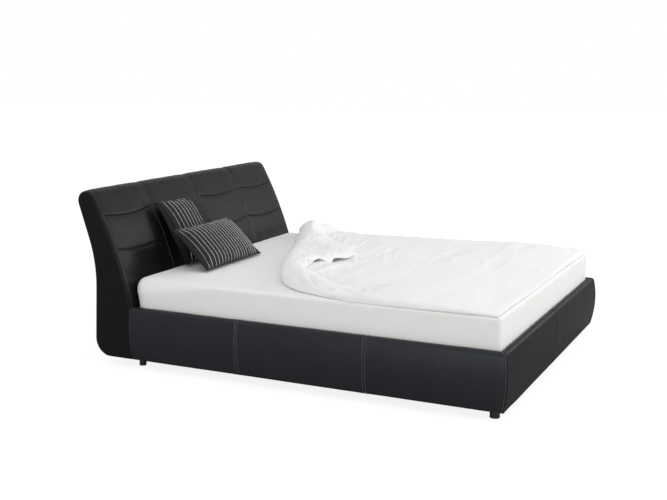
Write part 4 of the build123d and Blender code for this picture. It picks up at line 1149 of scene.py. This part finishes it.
def make_cushion(name, tilt, size, pitch, plain, shift, painted_shade_from):
    """A crowned cushion with pressed pleats down its front, each with a pale edge.

    The pitch is between pleats and plain is the width before the first. Past painted_shade_from, 0 to 1
    across, the pale edges are painted dark grey in patches, a painted shade where the crown turns away from
    the light; near the top only about half of them stay pale. The shift moves the cushion from the middle of
    the one in the CAD model.
    """
    low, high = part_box(name)
    centre = (np.array(low) + np.array(high)) / 2 + np.array(shift)
    width, height, thickness = size
    swell = 0.88  # the filling adds the rest
    front = crowned_face(width, height, thickness * swell, int(width / CLOTH_MESH), int(height / CLOTH_MESH))
    back = front * (1.0, 1.0, -1.0)
    front[:, :, 2] += CUSHION_EDGE
    back[:, :, 2] -= CUSHION_EDGE
    front, back = blow_up(front, back)
    limit = thickness * 0.6
    for face in (front, back):
        face[:, :, 2] = limit * np.tanh(face[:, :, 2] / limit)
    across, rises, pale = pleat_rows(width, pitch, plain)
    up = np.array([0.0, 0.008, 0.02, 0.035, *np.linspace(0.05, 0.95, 76), 0.965, 0.98, 0.992, 1.0])
    front, back = resample(front, across, up), resample(back, across, up)
    normals = unit(np.cross(np.gradient(front, axis=0), np.gradient(front, axis=1)))
    fade = smooth(up, 0.0, 0.05) * (1.0 - smooth(up, 0.95, 1.0))
    waver = noise_field(across * width * 9.0, up * 3.0, 1.7)
    rise = PLEAT_RISE * rises[:, None] * (0.35 + 0.65 * fade[None, :]) * (1.0 + 0.25 * waver)
    to_seam = np.minimum.outer(np.minimum(across, 1 - across) * width, np.minimum(up, 1 - up) * height)
    pucker = noise_field(across * width * 75.0, up * height * 75.0, 5.3)
    pucker = PUCKER_RISE * pucker * np.exp(-to_seam / 0.014)
    front = front + normals * (rise + pucker)[:, :, None]
    rows, columns = front.shape[:2]
    faces = pillow_faces(rows, columns)
    # Painted shade: past painted_shade_from the pale pleat edges turn to the dark grey copy in patches, where
    # the crown turns away from the light, and near the top about half of them do.
    shown = np.outer(1.0 - smooth(across, painted_shade_from, painted_shade_from + 0.2), 1.0 - 0.5 * smooth(up, 0.88, 0.96))[:-1, :-1]
    chance = 0.5 + 0.5 * noise_field(np.arange(rows - 1) * 3.7, np.arange(columns - 1) * 1.9, 2.2)
    colours = np.where(pale[:-1, None] == 0, 0, np.where(chance < shown + 0.1, 1, 2)).ravel().tolist()
    colours += [0] * (len(faces) - len(colours))
    front, back = front.reshape(-1, 3), back.reshape(-1, 3)
    piece = make_piece(f"{name}_cover", tilted(np.vstack([front, back]), tilt, centre), faces,
                       [CUSHION_DARK, CUSHION_PALE, CUSHION_PINSTRIPE_PAINTED_SHADE], name, False, colours)
    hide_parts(name)
    rim = rim_of(rows, columns)
    piping(f"{name}_piping", tilted((front[rim] + back[rim]) / 2, tilt, centre), name)


make_cushion("square_cushion", SQUARE_TILT, (0.445, 0.400, 0.118), 0.0285, 0.014, (0, -0.007, 0.003), 0.52)
make_cushion("oblong_cushion", OBLONG_TILT, (0.595, 0.300, 0.112), 0.0290, 0.028, (0, -0.009, 0.002), 0.84)


# ---- CAD nodes that stay ----
for name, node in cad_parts.items():
    for index, material in enumerate(list(node.data.materials)):
        slot = material.name.split(".")[0] if material is not None else None
        if slot in SLOT_FINISH:
            node.material_slots[index].material = SLOT_FINISH[slot]


# ---- floor, light and camera ----
def floor_finish():
    """Pale ground that bounces light, shown near white with the bed's shadow on it."""
    paper = Finish("studio_floor")
    seen = paper.node("ShaderNodeLightPath", output="Is Camera Ray")
    white = paper.node("ShaderNodeEmission", {}, {"Color": (1.0, 1.0, 1.0), "Strength": 0.85})
    mottled = paper.blend(paper.blotches(0.4), (0.44, 0.44, 0.44), (0.46, 0.46, 0.46))
    ground, shadowed = (paper.node("ShaderNodeBsdfDiffuse", {}, {"Color": colour})
                        for colour in (mottled, (0.26, 0.26, 0.26)))
    shown = paper.node("ShaderNodeAddShader", {}, {0: white, 1: shadowed})
    return paper.end(paper.node("ShaderNodeMixShader", {}, {0: seen, 1: ground, 2: shown}))


def make_floor(size=30.0):
    corners = [(-size, -size, 0), (size, -size, 0), (size, size, 0), (-size, size, 0)]
    floor = link("floor", new_mesh("floor", corners, [(0, 1, 2, 3)]))
    floor.data.materials.append(floor_finish())


def make_world(light=0.77, shown=1.0):
    """White all round: one strength lights the bed and the other is seen behind it."""
    sky = Finish("studio", world=True)
    seen = sky.node("ShaderNodeLightPath", output="Is Camera Ray")
    lit, behind = (sky.node("ShaderNodeBackground", {}, {"Color": (1.0, 1.0, 1.0), "Strength": strength})
                   for strength in (light, shown))
    bpy.context.scene.world = sky.end(sky.node("ShaderNodeMixShader", {}, {0: seen, 1: lit, 2: behind}))


def aim(name, data, place, direction):
    """A lamp or camera at a place, facing a direction."""
    made = link(name, data)
    made.location = place
    made.rotation_mode = "QUATERNION"
    made.rotation_quaternion = direction.to_track_quat("-Z", "Y")
    return made


def soft_lamp(name, place, target, size, power):
    lamp = bpy.data.lights.new(name, "AREA")
    lamp.shape = "RECTANGLE"
    lamp.size, lamp.size_y = size
    lamp.energy = power
    aim(name, lamp, place, Vector(target) - Vector(place))


def make_camera(place, heading, dip, lens):
    data = bpy.data.cameras.new("camera")
    data.sensor_width = 36.0
    data.lens = lens
    level = math.cos(dip)
    forward = Vector((math.cos(heading) * level, math.sin(heading) * level, -math.sin(dip)))
    bpy.context.scene.camera = aim("camera", data, place, forward)


make_floor()
make_world()
soft_lamp("overhead", (-0.7, -0.6, 4.4), (0, 0, 0.3), (4.5, 4.5), 26)
soft_lamp("foot_side", (0.0, -6.0, 1.6), (0, 0, 0.5), (3.0, 2.2), 94)
soft_lamp("far_side", (4.4, -3.2, 2.5), (0, 0.6, 0.5), (1.8, 1.8), 52)
soft_lamp("near_side", (-5.0, -0.7, 0.9), (0, -0.3, 0.35), (2.6, 1.0), 36)
make_camera((-5.344, -2.4331, 1.619), math.radians(25.55), math.radians(10.2), 56.17)
bpy.context.scene.view_settings.view_transform = "Standard"
